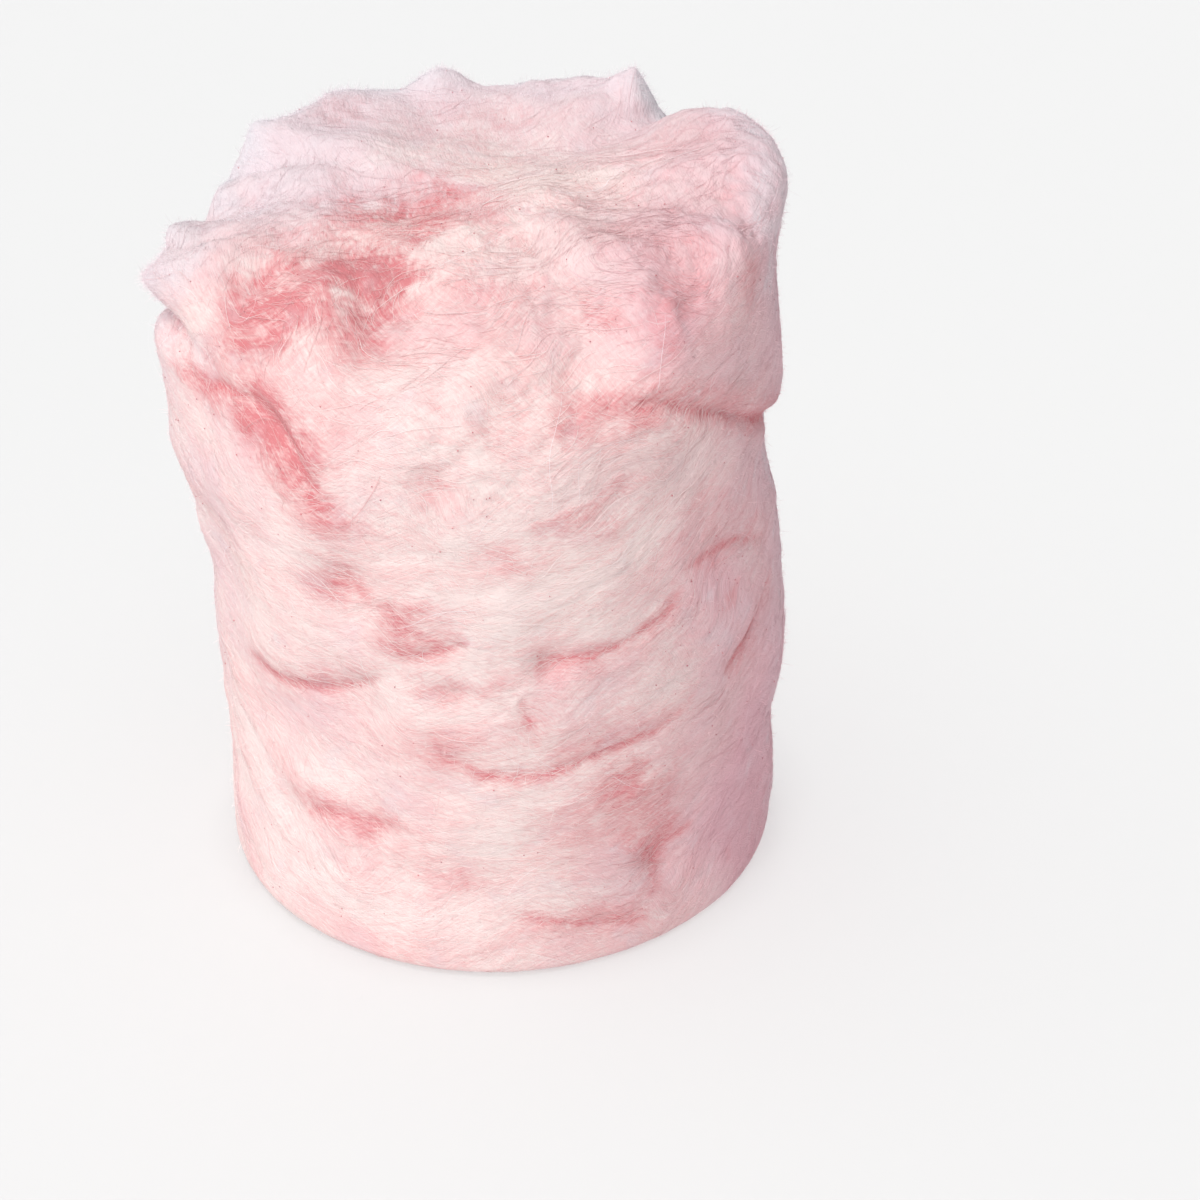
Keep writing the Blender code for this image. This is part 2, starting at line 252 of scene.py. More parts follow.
# Streaks drawn out along the comb, as broad bands of colour, broad relief and fine relief: how
# often they are blurred first, how far they are drawn each way, and in how many steps
STREAKS = [(24, 20.0, 14), (4, 9.0, 10), (0, 3.0, 6)]

# The skin's tone where it is even, from pale (0) to rose (1), and how much patches, mottle, bands,
# broad streaks and fine streaks sway it
TONE_LEVEL = 0.46
TONE_SWAY = (0.34, 0.16, 0.10, 0.07, 0.05)
# How soon the blushes, packed floss and painted shade, reach the deep colour
PACKING_AND_SHADE_STRENGTH = 1.35

# How ragged the blushes are: size of the frays and how far they reach
FRAYS = [(11, 3.4), (4, 2.2), (1.7, 1.1)]
# How much of that the lines in the creases take
LINE_FRAY = 0.2

# Blushes on the wall, where the floss is packed and its colour deep, and painted shade down in
# the gap, the creases and the dimples: angle, height, half width in degrees, half height and
# strength
WALL_BLUSHES_AND_SHADE = [
    (-24.5, 79, 5, 3.6, 0.65),
    (-15.5, 76, 3.2, 3.5, 0.55),
    (-13, 71.5, 3.2, 3.5, 0.50),
    (-9, 69.8, 5, 1.6, 0.65),
    (-7.4, 99.9, 2.8, 2.8, 0.55),
    (-45, 56.3, 3, 1, 0.55),
    (-37, 56.3, 3, 1, 0.55),
    (11.4, 66.5, 1.8, 1.8, 0.60),
    (12.5, 66, 6, 4, 0.14),
    (-27, 82, 7, 3, 0.18),
    (-3, 63, 8, 3, 0.30),
    (23, 113.2, 10, 4.6, 0.90),
    (10, 114, 9, 5, 0.45),
    (33, 111, 8, 3, 0.48),
    (48, 106, 14, 1.6, 0.08),
    (2.4, 110.7, 3.4, 2.6, 0.45),
    (62, 127, 4, 6, 0.35),
    (41, 124, 8, 4, 0.50),
    (-58, 110.5, 8, 2.6, 0.70),
    (-45, 111, 5, 3.4, 0.90),
    (-39.5, 109, 5, 4.4, 1.30),
    (-35, 105.5, 4.6, 4.6, 1.20),
    (-31.5, 101, 4.4, 5, 1.30),
    (-28.4, 96.5, 4.2, 3.2, 1.10),
    (-25, 93.5, 5, 4, 0.28),
    (48.3, 77, 3.4, 1.2, 0.60),
    (53.2, 69.1, 2, 2, 0.60),
    (30, 38, 7, 6, 0.38),
    (32, 27, 6, 6, 0.42),
    (25, 42, 6, 4, 0.30),
    (34.3, 18.5, 2.6, 4.5, 0.65),
    (54, 9.5, 1.2, 1.2, 1.00),
    (-38, 28.5, 5, 1.6, 0.40),
    (-28.6, 31.2, 6, 1.6, 0.42),
    (-20, 31.9, 5, 1.6, 0.35),
    (-3.3, 23.3, 7, 4, 0.28),
    (8, 13, 8, 1.4, 0.22),
    (28, 7, 6, 1.4, 0.22),
    (24, 100, 18, 9, 0.06),
    (44, 90, 14, 8, 0.10),
    (8, 90, 8, 2.6, 0.24),
    (18, 94.5, 7, 3.4, 0.24),
    (27, 100, 6, 4, 0.18),
    (20, 34, 18, 8, 0.18),
    (0, 52, 20, 5, 0.14),
    (-125, 86, 14, 4, 0.50),
    (135, 60, 16, 4, 0.50),
    (160, 104, 20, 4.5, 0.55),
    (-165, 44, 14, 4, 0.45),
    (120, 92, 12, 8, 0.30),
    (-110, 30, 14, 8, 0.30),
    (-150, 100, 10, 6, 0.35),
    (175, 72, 12, 7, 0.30),
]

# Pale bands of straight-drawn floss on the wall: strength, half width and route (angle, height).
# Where they run just under the right fold they are partly painted light, lifting its shade
WALL_BANDS = [
    (0.90, 1.5, [(-14, 82.7), (0, 79.5), (14, 80.3), (25.4, 83.8), (33.5, 88.9), (42.6, 97.5)]),
    (0.50, 1.6, [(-8, 88), (4, 94.5), (14.7, 99), (24, 104.5), (33, 108)]),
    (0.45, 2.2, [(-22, 74), (-8, 75.5), (6, 76), (16, 78), (26, 82.5)]),
    (0.30, 2, [(-16, 84), (-2, 82), (12, 84), (22, 89)]),
    (0.35, 1.4, [(22, 73), (32, 78), (40, 84), (46, 90)]),
    (0.30, 3, [(-50, 62), (-42, 60), (-32, 61), (-22, 65)]),
    (0.35, 4, [(-60, 88), (-48, 84), (-38, 84), (-30, 87)]),
    (0.30, 3, [(-48, 16), (-30, 10), (-12, 8), (0, 12)]),
    (0.35, 5, [(6, 19), (16, 16.5), (28, 13)]),
    (0.45, 3, [(-38, 36), (-37, 26), (-33, 15), (-26, 8)]),
    (0.60, 2, [(31, 12), (33, 7), (36, 3)]),
    (0.28, 2, [(6, 40), (20, 43), (34, 46), (46, 54)]),
    (0.30, 3, [(-20, 56), (-10, 58), (2, 58), (14, 60), (26, 64)]),
    (0.30, 5, [(-24, 108), (-10, 106), (4, 106), (18, 107)]),
    (0.50, 5, [(12, 102.5), (24, 103.5), (36, 101.5), (46, 97)]),
]

# The same on the crown, with the route as (x, y). The first, along the rolled ridge of the
# right lobe, is a painted highlight on the ridge's top edge
CROWN_BANDS = [
    (0.70, 3, [(12, -29), (20, -25), (28, -21.5), (35, -23), (40, -28.5), (42.5, -34)]),
    (0.55, 6, [(-14, -21), (-6, -23.5), (2, -26), (12, -29)]),
    (0.45, 9, [(-2, -8), (8, 0), (22, 6)]),
    (0.40, 5, [(-46, -2), (-36, 6), (-30, 20)]),
    (0.35, 7, [(-20, -44), (-8, -44), (4, -44)]),
    (0.40, 9, [(4, -12), (16, -13), (30, -14), (42, -12)]),
    (0.48, 8, [(2, -34), (14, -32), (28, -29), (38, -29)]),
    (0.22, 12, [(4, 15), (18, 14), (32, 6), (46, 2)]),
]

# Blushes on the crown, packed floss and painted shade down in the pits: place (x, y), half sizes,
# turn and strength
CROWN_BLUSHES_AND_SHADE = [
    (-36.9, -29.2, 2.4, 5, 79, 2.80),
    (-34, -28, 7, 10, 70, 0.48),
    (-18.5, -27.5, 5, 6.5, 0, 1.30),
    (-22.5, -24, 5, 5, 0, 0.80),
    (-14, -28.6, 3.6, 3.5, 0, 1.40),
    (-26, -33, 7, 5, 0, 0.45),
    (-14.5, -6.5, 5, 8, 90, 0.66),
    (-14, -6, 10, 12, 90, 0.34),
    (-7, 0.5, 5, 4, 0, 0.50),
    (-22, -3.5, 4, 5, 80, 0.40),
    (-10.5, -12.5, 3, 4, 60, 0.50),
    (-38, -21, 2.4, 6, -64, 0.55),
    (-19.5, -35.5, 2.6, 5, 45, 0.60),
    (-30.3, 33.1, 4, 7, 60, 0.35),
    (-49, -2.1, 4, 6, 0, 0.40),
    (30, -15, 2.2, 6, 54, 0.28),
    (31, -27, 2.6, 6, 90, 0.22),
    (32, -36.5, 4.5, 6, 90, 0.35),
    (19, -36.5, 3, 5, 50, 0.40),
    (-26, -25, 11, 16, 80, 0.36),
    (2, -30, 6, 12, 80, 0.15),
    (30, 12, 8, 14, 70, 0.08),
    (-4, 30, 8, 18, 85, 0.15),
]

# Rosier floss on the wall, as the blushes
ROSE_SPOTS = [
    (40, 35, 28, 40, 0.26),
    (-5, 116, 45, 14, 0.16),
]

# Painted shade, a greyer colour, on the wall and on the crown, as the blushes
CROWN_PAINTED_SHADE_SPOTS = [(30, -26, 15, 14, 0, 0.45)]
PAINTED_SHADE_SPOTS = [
    (60, 20, 22, 24, 0.72),
    (39, 121, 8, 6, 0.40),
    (49, 74, 12, 15, 0.28),
]

# Wisps: angle, height, spread in degrees, spread in rows, fibres, length, how far out and up
WISPS = [
    (-78, 121.5, 3.5, 3, 2600, 1.5, 1, 0.05),
    (-86, 113, 9, 4, 1400, 1.1, 1, 0.3),
    (-92, 127, 6, 4, 1500, 1.2, 1, 0.5),
    (-116, 135, 7, 4, 2000, 1.3, 0.5, 1),
    (-140, 138, 6, 4, 2000, 1.4, 0.5, 1),
    (-167, 139.5, 4, 4, 1600, 1.4, 0.2, 1),
    (147, 139.5, 4, 4, 1600, 1.4, 0.2, 1),
    (112, 138, 12, 5, 2200, 1.1, 0.4, 1),
    (180, 138, 22, 5, 2600, 1.1, 0.2, 1),
    (88, 97, 6, 6, 900, 1.1, 1, -0.1),
    (84, 41, 6, 8, 900, 1.1, 1, 0),
]

# Fibres that lie along the comb: points, mean and least lift, lengths, how far they stray, bend and
# wave, widths as shares of the usual, and how they differ from the skin in tone (mean and spread)
LAID_FIBRES = {
    "matted_fibres": (6, (0.06, 0.04), (2.0, 6.0), (0.6, 0.2, 0.12), (0.6, 1.4), (-0.2, 0.2)),
    "long_fibres": (9, (0.09, 0.06), (6.0, 17.0), (0.25, 0.06, 0.3), (0.6, 1.5), (-0.35, 0.2)),
    "loose_hairs": (22, (0.4, 0.2), (8.0, 26.0), (0.7, 0.035, 0.6), (0.6, 1.3), (-0.6, 0.1)),
}
# The fibres' widths from one end to the other, as shares
MATTED_TAPER = (0.4, 0.9, 1.0, 1.0, 0.9, 0.4)
FUZZ_TAPER = (1.0, 0.8, 0.3)
WISP_TAPER = (1.0, 0.95, 0.7, 0.25)

# Sugar grains: where most lie (angle, height, half width, half height) and their half sizes
GRAIN_CLUSTER = (50.0, 70.0, 16.0, 14.0)
GRAIN_SIZE = (0.09, 0.19)

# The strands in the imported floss's shader, four kinds: how fast they change along the comb and
# across it (per millimetre), how far they lean off it, and their share in colour and in relief
STRANDS = [
    (0.09, 1.3, 0.0, 0.8, 0.30),
    (0.25, 3.4, 0.35, 1.0, 0.50),
    (0.25, 3.4, -0.35, 1.0, 0.50),
    (0.60, 4.2, 0.9, 0.8, 0.45),
]
FELT_SCALE = 900.0
PACKING_AND_SHADE_FRAY = 1.3
# How high above the floor the lowest fibres keep, in millimetres
FLOOR_CLEARANCE = 0.06
# How far the roots of the fibres reach into the skin, in millimetres
MATTED_ROOT = 0.06
FUZZ_ROOT = 0.1
WISP_ROOT = 0.3
# The usual widths of the wisps and of the loose hairs, in millimetres
WISP_WIDTH = 0.036
HAIR_WIDTH = 0.045
# The tufts' reach and rise in the scene, as shares of those in the solid
TUFT_SHARPNESS = 0.85
TUFT_RISE = 0.85

# Where the photograph was taken from, in metres, how far the camera dips, in degrees, and its lens
# and sensor, in millimetres
CAMERA_PLACE = (0.0200, -0.33673, 0.25458)
CAMERA_DIP = 31.6
CAMERA_LENS = 60.0
CAMERA_SENSOR = 36.0

# Lamps: name, bearing, height of the light in degrees, softness in degrees, strength, colour, and
# what it lights: the block, the floor without the block's shadow, or the floor with it
LAMPS = [
    ("key_lamp", -33.0, 52.0, 60.0, 2.62, (1.0, 0.985, 0.97), "block"),
    ("back_lamp", -150.0, 60.0, 80.0, 0.25, (0.97, 0.97, 1.0), "block"),
    ("floor_lamp", -60.0, 80.0, 90.0, 4.9, (1.0, 1.0, 1.0), "floor"),
    ("shadow_lamp", -100.0, 88.0, 8.0, 0.75, (1.0, 1.0, 1.0), "shadow"),
]

# The floor's rings: radius and height, in metres
FLOOR_RINGS = [
    (0.02, 0.0), (0.3, 0.0), (0.9, 0.0), (1.8, 0.0), (2.2, 0.02), (2.5, 0.1), (2.7, 0.3),
    (2.78, 0.6), (2.8, 1.0),
]


def between(keys, place):
    """The value at a place in (place, value) keys, eased from one key to the next."""
    places = [key[0] for key in keys]
    if place <= places[0]:
        return keys[0][1]
    if place >= places[-1]:
        return keys[-1][1]
    after = next(i for i, p in enumerate(places) if p > place)
    low, high = keys[after - 1], keys[after]
    share = (place - low[0]) / (high[0] - low[0])
    share = share * share * (3 - 2 * share)
    return low[1] + (high[1] - low[1]) * share


def around(angles, angle):
    """The two keyed angles on either side of an angle, and how far it is from the first."""
    ordered = sorted(angles)
    if angle < ordered[0]:
        angle += 360.0
    ring = ordered + [ordered[0] + 360.0]
    after = next(i for i, a in enumerate(ring) if a > angle)
    low, high = ring[after - 1], ring[after]
    share = (angle - low) / (high - low)
    share = share * share * (3 - 2 * share)
    return low, high if high <= 180.0 else high - 360.0, share


def wall_radius(angle, height):
    low, high, share = around(WALL_LEAN, angle)
    lean = between(WALL_LEAN[low], height) * (1 - share) + between(WALL_LEAN[high], height) * share
    return WALL_RADIUS + lean


def crown_edge(angle):
    """The crown's edge at an angle: its height, the shoulder's start and its squareness."""
    keys = {key[0]: key[1:] for key in CROWN_EDGE}
    low, high, share = around(keys, angle)
    return tuple(a * (1 - share) + b * share for a, b in zip(keys[low], keys[high]))


def column(angle):
    """Points (radius, height) up the wall, over the shoulder and in to the crown's middle."""
    edge_height, start, squareness = crown_edge(angle)
    points = []
    steps = np.linspace(0.0, 1.0, SAMPLES_PER_PART)
    for share in steps:
        turn = share * math.pi / 2
        height = BASE_ROUNDING * (1 - math.cos(turn))
        radius = wall_radius(angle, height) - BASE_ROUNDING * (1 - math.sin(turn))
        points.append((radius, height))
    for share in steps[1:]:
        height = BASE_ROUNDING + share * (start - BASE_ROUNDING)
        points.append((wall_radius(angle, height), height))
    power = 1.0 - 0.72 * squareness
    for share in steps[1:]:
        turn = share * math.pi / 2
        inward = math.cos(turn) ** power
        upward = math.sin(turn) ** power
        height = start + (edge_height - start) * upward
        # the crown sinks from its edge to the middle
        height += (CROWN_HEIGHT - edge_height) * (1 - inward**2) ** 1.3 * upward
        points.append((wall_radius(angle, height) * inward, height))
    return np.array(points)


def evenly(points, count):
    """The same line with its points an even distance apart."""
    steps = np.hypot(*np.diff(points, axis=0).T)
    along = np.concatenate([[0.0], np.cumsum(steps)])
    wanted = np.linspace(0.0, along[-1], count)
    return np.stack([np.interp(wanted, along, points[:, i]) for i in (0, 1)], axis=-1)


def plain_skin(columns, rows):
    """Places of the smooth skin as rows x columns x 3, from the foot of the wall to the crown."""
    angles = -180.0 + 360.0 * np.arange(columns) / columns
    skin = np.empty((rows, columns, 3))
    for i, angle in enumerate(angles):
        line = evenly(column(angle), rows)
        turn = math.radians(angle)
        skin[:, i, 0] = line[:, 0] * math.sin(turn)
        skin[:, i, 1] = -line[:, 0] * math.cos(turn)
        skin[:, i, 2] = line[:, 1]
    return skin


def outward(skin):
    """Unit normals of the skin."""
    across = np.roll(skin, -1, axis=1) - np.roll(skin, 1, axis=1)
    up = np.gradient(skin, axis=0)
    normal = np.cross(across, up)
    normal[-1] = (0.0, 0.0, 1.0)
    return normal / np.linalg.norm(normal, axis=-1, keepdims=True)


def taken_apart(skin):
    """The x, y, height and angle of each place."""
    x, y, height = np.moveaxis(skin, -1, 0)
    return x, y, height, np.degrees(np.arctan2(x, -y))


def crown_share(skin):
    """How far each place lies on the crown, from 0 on the wall to 1."""
    return ramp(outward(skin)[..., 2], 0.25, 0.5)


def everywhere(skin, value):
    """What value gives for the point at each place."""
    values = np.array([value(Vector(point)) for point in skin.reshape(-1, 3)])
    return values.reshape(skin.shape[:2] + values.shape[1:])


def unrolled(angle, height):
    """Where a spot on the wall lies on the wall unrolled flat, in millimetres."""
    return np.stack([np.radians(angle) * WALL_RADIUS, height], axis=-1)


def beside(route, places):
    """Distance from a route, signed (positive on its left), and how near its ends each place is."""
    best = np.full(places.shape[:-1], np.inf)
    side = np.ones(places.shape[:-1])
    along = np.zeros(places.shape[:-1])
    lengths = np.hypot(*np.diff(route, axis=0).T)
    start = np.concatenate([[0.0], np.cumsum(lengths)])
    for i, length in enumerate(lengths):
        a, b = route[i], route[i + 1]
        direction = (b - a) / length
        offset = places - a
        share = np.clip(offset @ direction, 0.0, length)
        gap = offset - share[..., None] * direction
        distance = np.hypot(gap[..., 0], gap[..., 1])
        nearer = distance < best
        best = np.where(nearer, distance, best)
        turn = direction[0] * offset[..., 1] - direction[1] * offset[..., 0]
        side = np.where(nearer, np.sign(turn), side)
        along = np.where(nearer, (start[i] + share) / start[-1], along)
    return best * side, np.sin(along * math.pi).clip(0.0, 1.0) ** 0.5


def wrapped(angle, middle):
    """Angles brought within half a turn of a middle."""
    return (angle - middle + 180.0) % 360.0 - 180.0 + middle


def bell(distance, half_width):
    return np.exp(-((distance / half_width) ** 2))


def ramp(values, start, length):
    """From 0 at start to 1 a length further on."""
    return np.clip((values - start) / length, 0.0, 1.0)


def facing(angle, middle, half_width):
    return bell(wrapped(angle, middle) - middle, half_width)


def spot_on_wall(angle, height, middle, level, half_width, half_height):
    return facing(angle, middle, half_width) * bell(height - level, half_height)


def beside_on_wall(route, angle, height):
    """The same as beside, for a route of (angle, height) on the wall."""
    middle = (route[0][0] + route[-1][0]) / 2
    line = np.array([unrolled(a, h) for a, h in route])
    return beside(line, unrolled(wrapped(angle, middle), height))


def beside_on_crown(route, x, y):
    """The same as beside, for a route of (x, y) on the crown."""
    return beside(np.array(route), np.stack([x, y], axis=-1))


def wall_spots(rows, angle, height):
    """Soft spots on the wall, added up."""
    return sum(strength * spot_on_wall(angle, height, *spot) for *spot, strength in rows)


def crown_spots(rows, x, y):
    """Soft spots on the crown, added up."""
    total = np.zeros_like(x)
    for middle_x, middle_y, half_width, half_length, turn, strength in rows:
        c, s = math.cos(math.radians(turn)), math.sin(math.radians(turn))
        across = c * (x - middle_x) + s * (y - middle_y)
        along = -s * (x - middle_x) + c * (y - middle_y)
        total += strength * bell(across, half_width) * bell(along, half_length)
    return total


def crease_push(angle, height, sharpness):
    """How far the creases push the wall out, in millimetres."""
    push = np.zeros_like(angle)
    for depth, half_width, roll, route in CREASES:
        distance, strength = beside_on_wall(route, angle, height)
        if route[0][0] > route[-1][0]:
            distance = -distance
        above = bell(distance - 2.6 * half_width, 2.2 * half_width)
        groove = CREASE_SHARE * depth * (depth / DEEPEST_CREASE) ** CREASE_FADE
        push += strength * (0.45 * roll * above - groove * bell(distance, half_width * sharpness))
    return push


def crease_shade_lines(angle, height):
    """Painted shade in the creases: thin deep-coloured lines and the soft blush beside them."""
    lines = np.zeros_like(angle)
    for depth, _, _, route in CREASES:
        distance, strength = beside_on_wall(route, angle, height)
        deep = strength * min(1.0, 0.45 + depth / 5.0)
        lines += deep * sum(share * bell(distance - up, half) for share, up, half in CREASE_SHADE_COLOURS)
    return lines


def dimple_push(angle, height):
    push = np.zeros_like(angle)
    for middle, level, half_width, half_height, depth in DIMPLES:
        across = np.radians(wrapped(angle, middle) - middle) * WALL_RADIUS
        push -= depth * bell(across, half_width) * bell(height - level, half_height)
    return push


def ridge_push(x, y):
    """How far the rolled ridges push the crown up."""
    push = np.zeros_like(x)
    for rise, half_width, route in RIDGES:
        distance, strength = beside_on_crown(route, x, y)
        push += rise * strength * bell(distance, half_width)
    return push


def swell(skin):
    """Soft lumps all over the block, as a push for each place."""
    return sum(
        everywhere(skin, lambda point: rise * noise.noise(point / size + NOISE_SEED * (i + 1)))
        for i, (size, rise) in enumerate(SWELLS)
    )


def tuft_share(skin, angle, radius, height, reach):
    """How far each place is drawn out with a tuft, from 0 to 1, and which way is out."""
    turn = math.radians(angle)
    away = np.array([math.sin(turn), -math.cos(turn), 0.0])
    middle = away * radius + np.array([0.0, 0.0, height])
    return bell(np.linalg.norm(skin - middle, axis=-1), reach), away


def pull_tufts(skin, sharpness, rise):
    """The skin with its tufts drawn out."""
    drawn = skin.copy()
    for angle, radius, height, reach, out, up in TUFTS:
        share, away = tuft_share(skin, angle, radius, height, reach * sharpness)
        drawn += share[..., None] * (away * out + np.array([0.0, 0.0, up * rise]))
    return drawn


def floss_skin(columns, rows, sharpness=1.0, tuft_sharpness=1.0, tuft_rise=1.0):
    """The finished skin and the plain one that it was drawn from, each as rows x columns x 3."""
    plain = plain_skin(columns, rows)
    x, y, height, angle = taken_apart(plain)
    on_crown = crown_share(plain)
    off_foot = ramp(height, 0.0, 5 * BASE_ROUNDING)
    push = (crease_push(angle, height, sharpness) + dimple_push(angle, height)) * (1 - on_crown)
    push += (ridge_push(x, y) - PIT_SHARE * crown_spots(PITS, x, y)) * on_crown
    push += swell(plain) * (1 + (CROWN_SWELL - 1) * on_crown)
    skin = plain + outward(plain) * (push * off_foot)[..., None]
    skin = pull_tufts(skin, tuft_sharpness, tuft_rise)
    # every column ends in the same point in the middle of the crown
    skin[-1] = skin[-2].mean(axis=0)
    return skin, plain


def pale_and_lit_bands(angle, height, x, y, on_crown):
    """Where the floss is drawn straight and looks pale, with painted light: a highlight along the
    lobe's ridge and light under the right fold.
    """
    pale = np.zeros_like(angle)
    for strength, half_width, route in WALL_BANDS:
        distance, fade = beside_on_wall(route, angle, height)
        pale += strength * fade * bell(distance, half_width) * (1 - on_crown)
    for strength, half_width, route in CROWN_BANDS:
        distance, fade = beside_on_crown(route, x, y)
        pale += strength * fade * bell(distance, half_width) * on_crown
    return pale


def drawn_lines(angle, height, x, y, on_crown):
    """For each crease, band and ridge: signed distance from it and how near each place is."""
    for *_, route in CREASES + WALL_BANDS:
        distance, fade = beside_on_wall(route, angle, height)
        yield distance, LINE_PULL * fade**2 * bell(distance, LINE_REACH) * (1 - on_crown)
    for *_, route in CROWN_BANDS + RIDGES:
        distance, fade = beside_on_crown(route, x, y)
        yield distance, CROWN_PULL * fade**2 * bell(distance, LINE_REACH) * on_crown


class Net:
    """The fine skin, with what the fibres and the colours need to know at each place of it."""

    def __init__(self, shape):
        columns, rows = SKIN_NET
        solid, _ = floss_skin(*SOLID_NET)
        low, high = solid.reshape(-1, 3).min(axis=0), solid.reshape(-1, 3).max(axis=0)
        self.shift = np.array([(low[0] + high[0]) / 2, (low[1] + high[1]) / 2, 0.0])
        drawn = shape.crease_sharpness, TUFT_SHARPNESS, TUFT_RISE
        places, plain = floss_skin(columns, rows, *drawn)
        self.places = places - self.shift
        self.measure()
        self.comb(plain)
        draw = np.random.default_rng(SEEDS["skin"])
        bands, broad, fine = (
            self.combed(blurred(draw.standard_normal((rows, columns)), times), reach, steps)
            for times, reach, steps in STREAKS
        )
        torn = self.torn()
        x, y, height, _ = taken_apart(self.places)
        # the relief fades out at the foot and in the middle of the crown
        calm = ramp(height, 0.4, 4.0) * ramp(np.hypot(x, y), 2.0, 14.0)
        lift = shape.broad_relief * broad + shape.fine_relief * fine + shape.torn_relief * torn
        self.places = self.places + outward(self.places) * (lift * calm)[..., None]
        self.places[-1] = self.places[-2].mean(axis=0)
        self.measure()
        self.normal = outward(self.places)
        self.colour(plain, torn, bands, broad, fine)

    def measure(self):
        """Millimetres from one column to the next and from one row to the next."""
        across = np.roll(self.places, -1, axis=1) - np.roll(self.places, 1, axis=1)
        up = np.gradient(self.places, axis=0)
        self.step_u = np.maximum(np.linalg.norm(across, axis=-1) / 2, 0.03)
        self.step_v = np.maximum(np.linalg.norm(up, axis=-1), 0.12)
        self.area = self.step_u * self.step_v
        self.area[-2:] = 0.0
        self.area[0] = 0.0

    def torn(self):
        """Ragged lumps of the torn crown, from about -1 to 1, fading out down the wall."""
        def lump(point):
            point.z *= 1.3
            return 1.1 * noise.fractal(point / 10.0, 0.7, 2.1, 4) - 0.5 * abs(noise.noise(point / 15.0))

        torn = everywhere(self.places, lump)
        x, y, height, angle = taken_apart(self.places)
        front = facing(angle, -10.0, 62.0) * ramp(height, 92.0, 14.0)
        up = ramp(outward(self.places)[..., 2], 0.2, 0.5)
        calm = 1.0 - 0.65 * ramp(y, -5.0, 25.0)
        self.raggedness = np.clip(np.maximum(front, up) * calm, 0.12, 1.0)
        rim = bell(np.hypot(x, y) - 47.0, 7.0) * ramp(height, 118.0, 10.0)
        return torn * (self.raggedness + 0.9 * rim)

    def comb(self, plain):
        """Which way the floss is combed: level is the same all along one fibre."""
        x, y, height, angle = taken_apart(plain)
        bends = everywhere(
            plain, lambda point: sum(reach * noise.noise(point / size) for size, reach in COMB_BENDS)
        )
        level = height - COMB_TILT * y + bends * (1.0 - 0.7 * ramp(height, 100.0, 25.0))
        for *spot, rise in SWOOPS:
            level -= rise * spot_on_wall(angle, height, *spot)
        total, weight = level.copy(), np.ones_like(level)
        for distance, near in drawn_lines(angle, height, x, y, crown_share(plain)):
            middle = (level * near).sum() / near.sum()
            near = near * bell(level - middle, LINE_DEPTH)
            way = np.sign(((level - middle) * distance * near).sum())
            total += near * (middle + way * distance)
            weight += near
        self.level = total / weight
        rise_u = (np.roll(self.level, -1, axis=1) - np.roll(self.level, 1, axis=1)) / 2 / self.step_u
        rise_v = np.gradient(self.level, axis=0) / self.step_v
        size = np.maximum(np.hypot(rise_u, rise_v), 1e-6)
        self.along_u, self.along_v = rise_v / size, -rise_u / size

    def combed(self, values, reach, steps):
        """Values averaged along the comb, so that spots become streaks."""
        rows, columns = values.shape
        v, u = np.meshgrid(np.arange(rows, dtype=float), np.arange(columns, dtype=float), indexing="ij")
        total, weight = values.copy(), 1.0
        for way in (1.0, -1.0):
            path_u, path_v = self.walk(u, v, way * reach / steps, steps)
            for k in range(1, steps + 1):
                share = 0.5 + 0.5 * math.cos(math.pi * k / (steps + 1))
                total += share * at(values, path_u[k], path_v[k])
                weight += share
        total /= weight
        return (total - total.mean()) / total.std()

    def walk(self, u, v, step, steps, stray=0.0, bend=0.0):
        """Net places along the comb from (u, v), turned off it by stray and then by bend a step."""
        path_u, path_v = [u], [v]
        rows = self.places.shape[0]
        for k in range(steps):
            turn = stray + bend * k
            a, b = at(self.along_u, u, v), at(self.along_v, u, v)
            c, s = np.cos(turn), np.sin(turn)
            u = u + step * (a * c - b * s) / at(self.step_u, u, v)
            v = np.clip(v + step * (a * s + b * c) / at(self.step_v, u, v), 1.0, rows - 2.0)
            path_u.append(u)
            path_v.append(v)
        return path_u, path_v

    def colour(self, plain, torn, bands, broad, fine):
        """Masks from 0 to 1: deep colour, partly packed floss and partly painted shade in the
        creases and pits; uneven colour; hazy floss, with painted shade round the right side;
        painted shade on the side turned from the key lamp; and mist, thin floss with painted
        see-through light.
        """
        patch = everywhere(plain, lambda point: noise.fractal(point / 20.0 + NOISE_SEED, 0.8, 2.0, 5))
        mottle = everywhere(plain, lambda point: noise.fractal(point / 6.0 - NOISE_SEED, 0.7, 2.1, 4))
        frayed = plain.copy()
        noise.seed_set(SEEDS["frays"])
        for size, reach in FRAYS:
            frayed += everywhere(plain, lambda point: reach * noise.noise_vector(point / size))
        on_crown = crown_share(plain)
        x, y, height, angle = taken_apart(frayed)
        deep = wall_spots(WALL_BLUSHES_AND_SHADE, angle, height) * (1 - on_crown)
        deep += crown_spots(CROWN_BLUSHES_AND_SHADE, x, y) * on_crown
        deep *= np.clip(1.0 + 0.5 * patch + 1.1 * mottle, 0.0, 3.0)
        # pale bands, partly painted light along the lobe's ridge and under the right fold
        self.pale = pale_and_lit_bands(angle, height, x, y, on_crown)
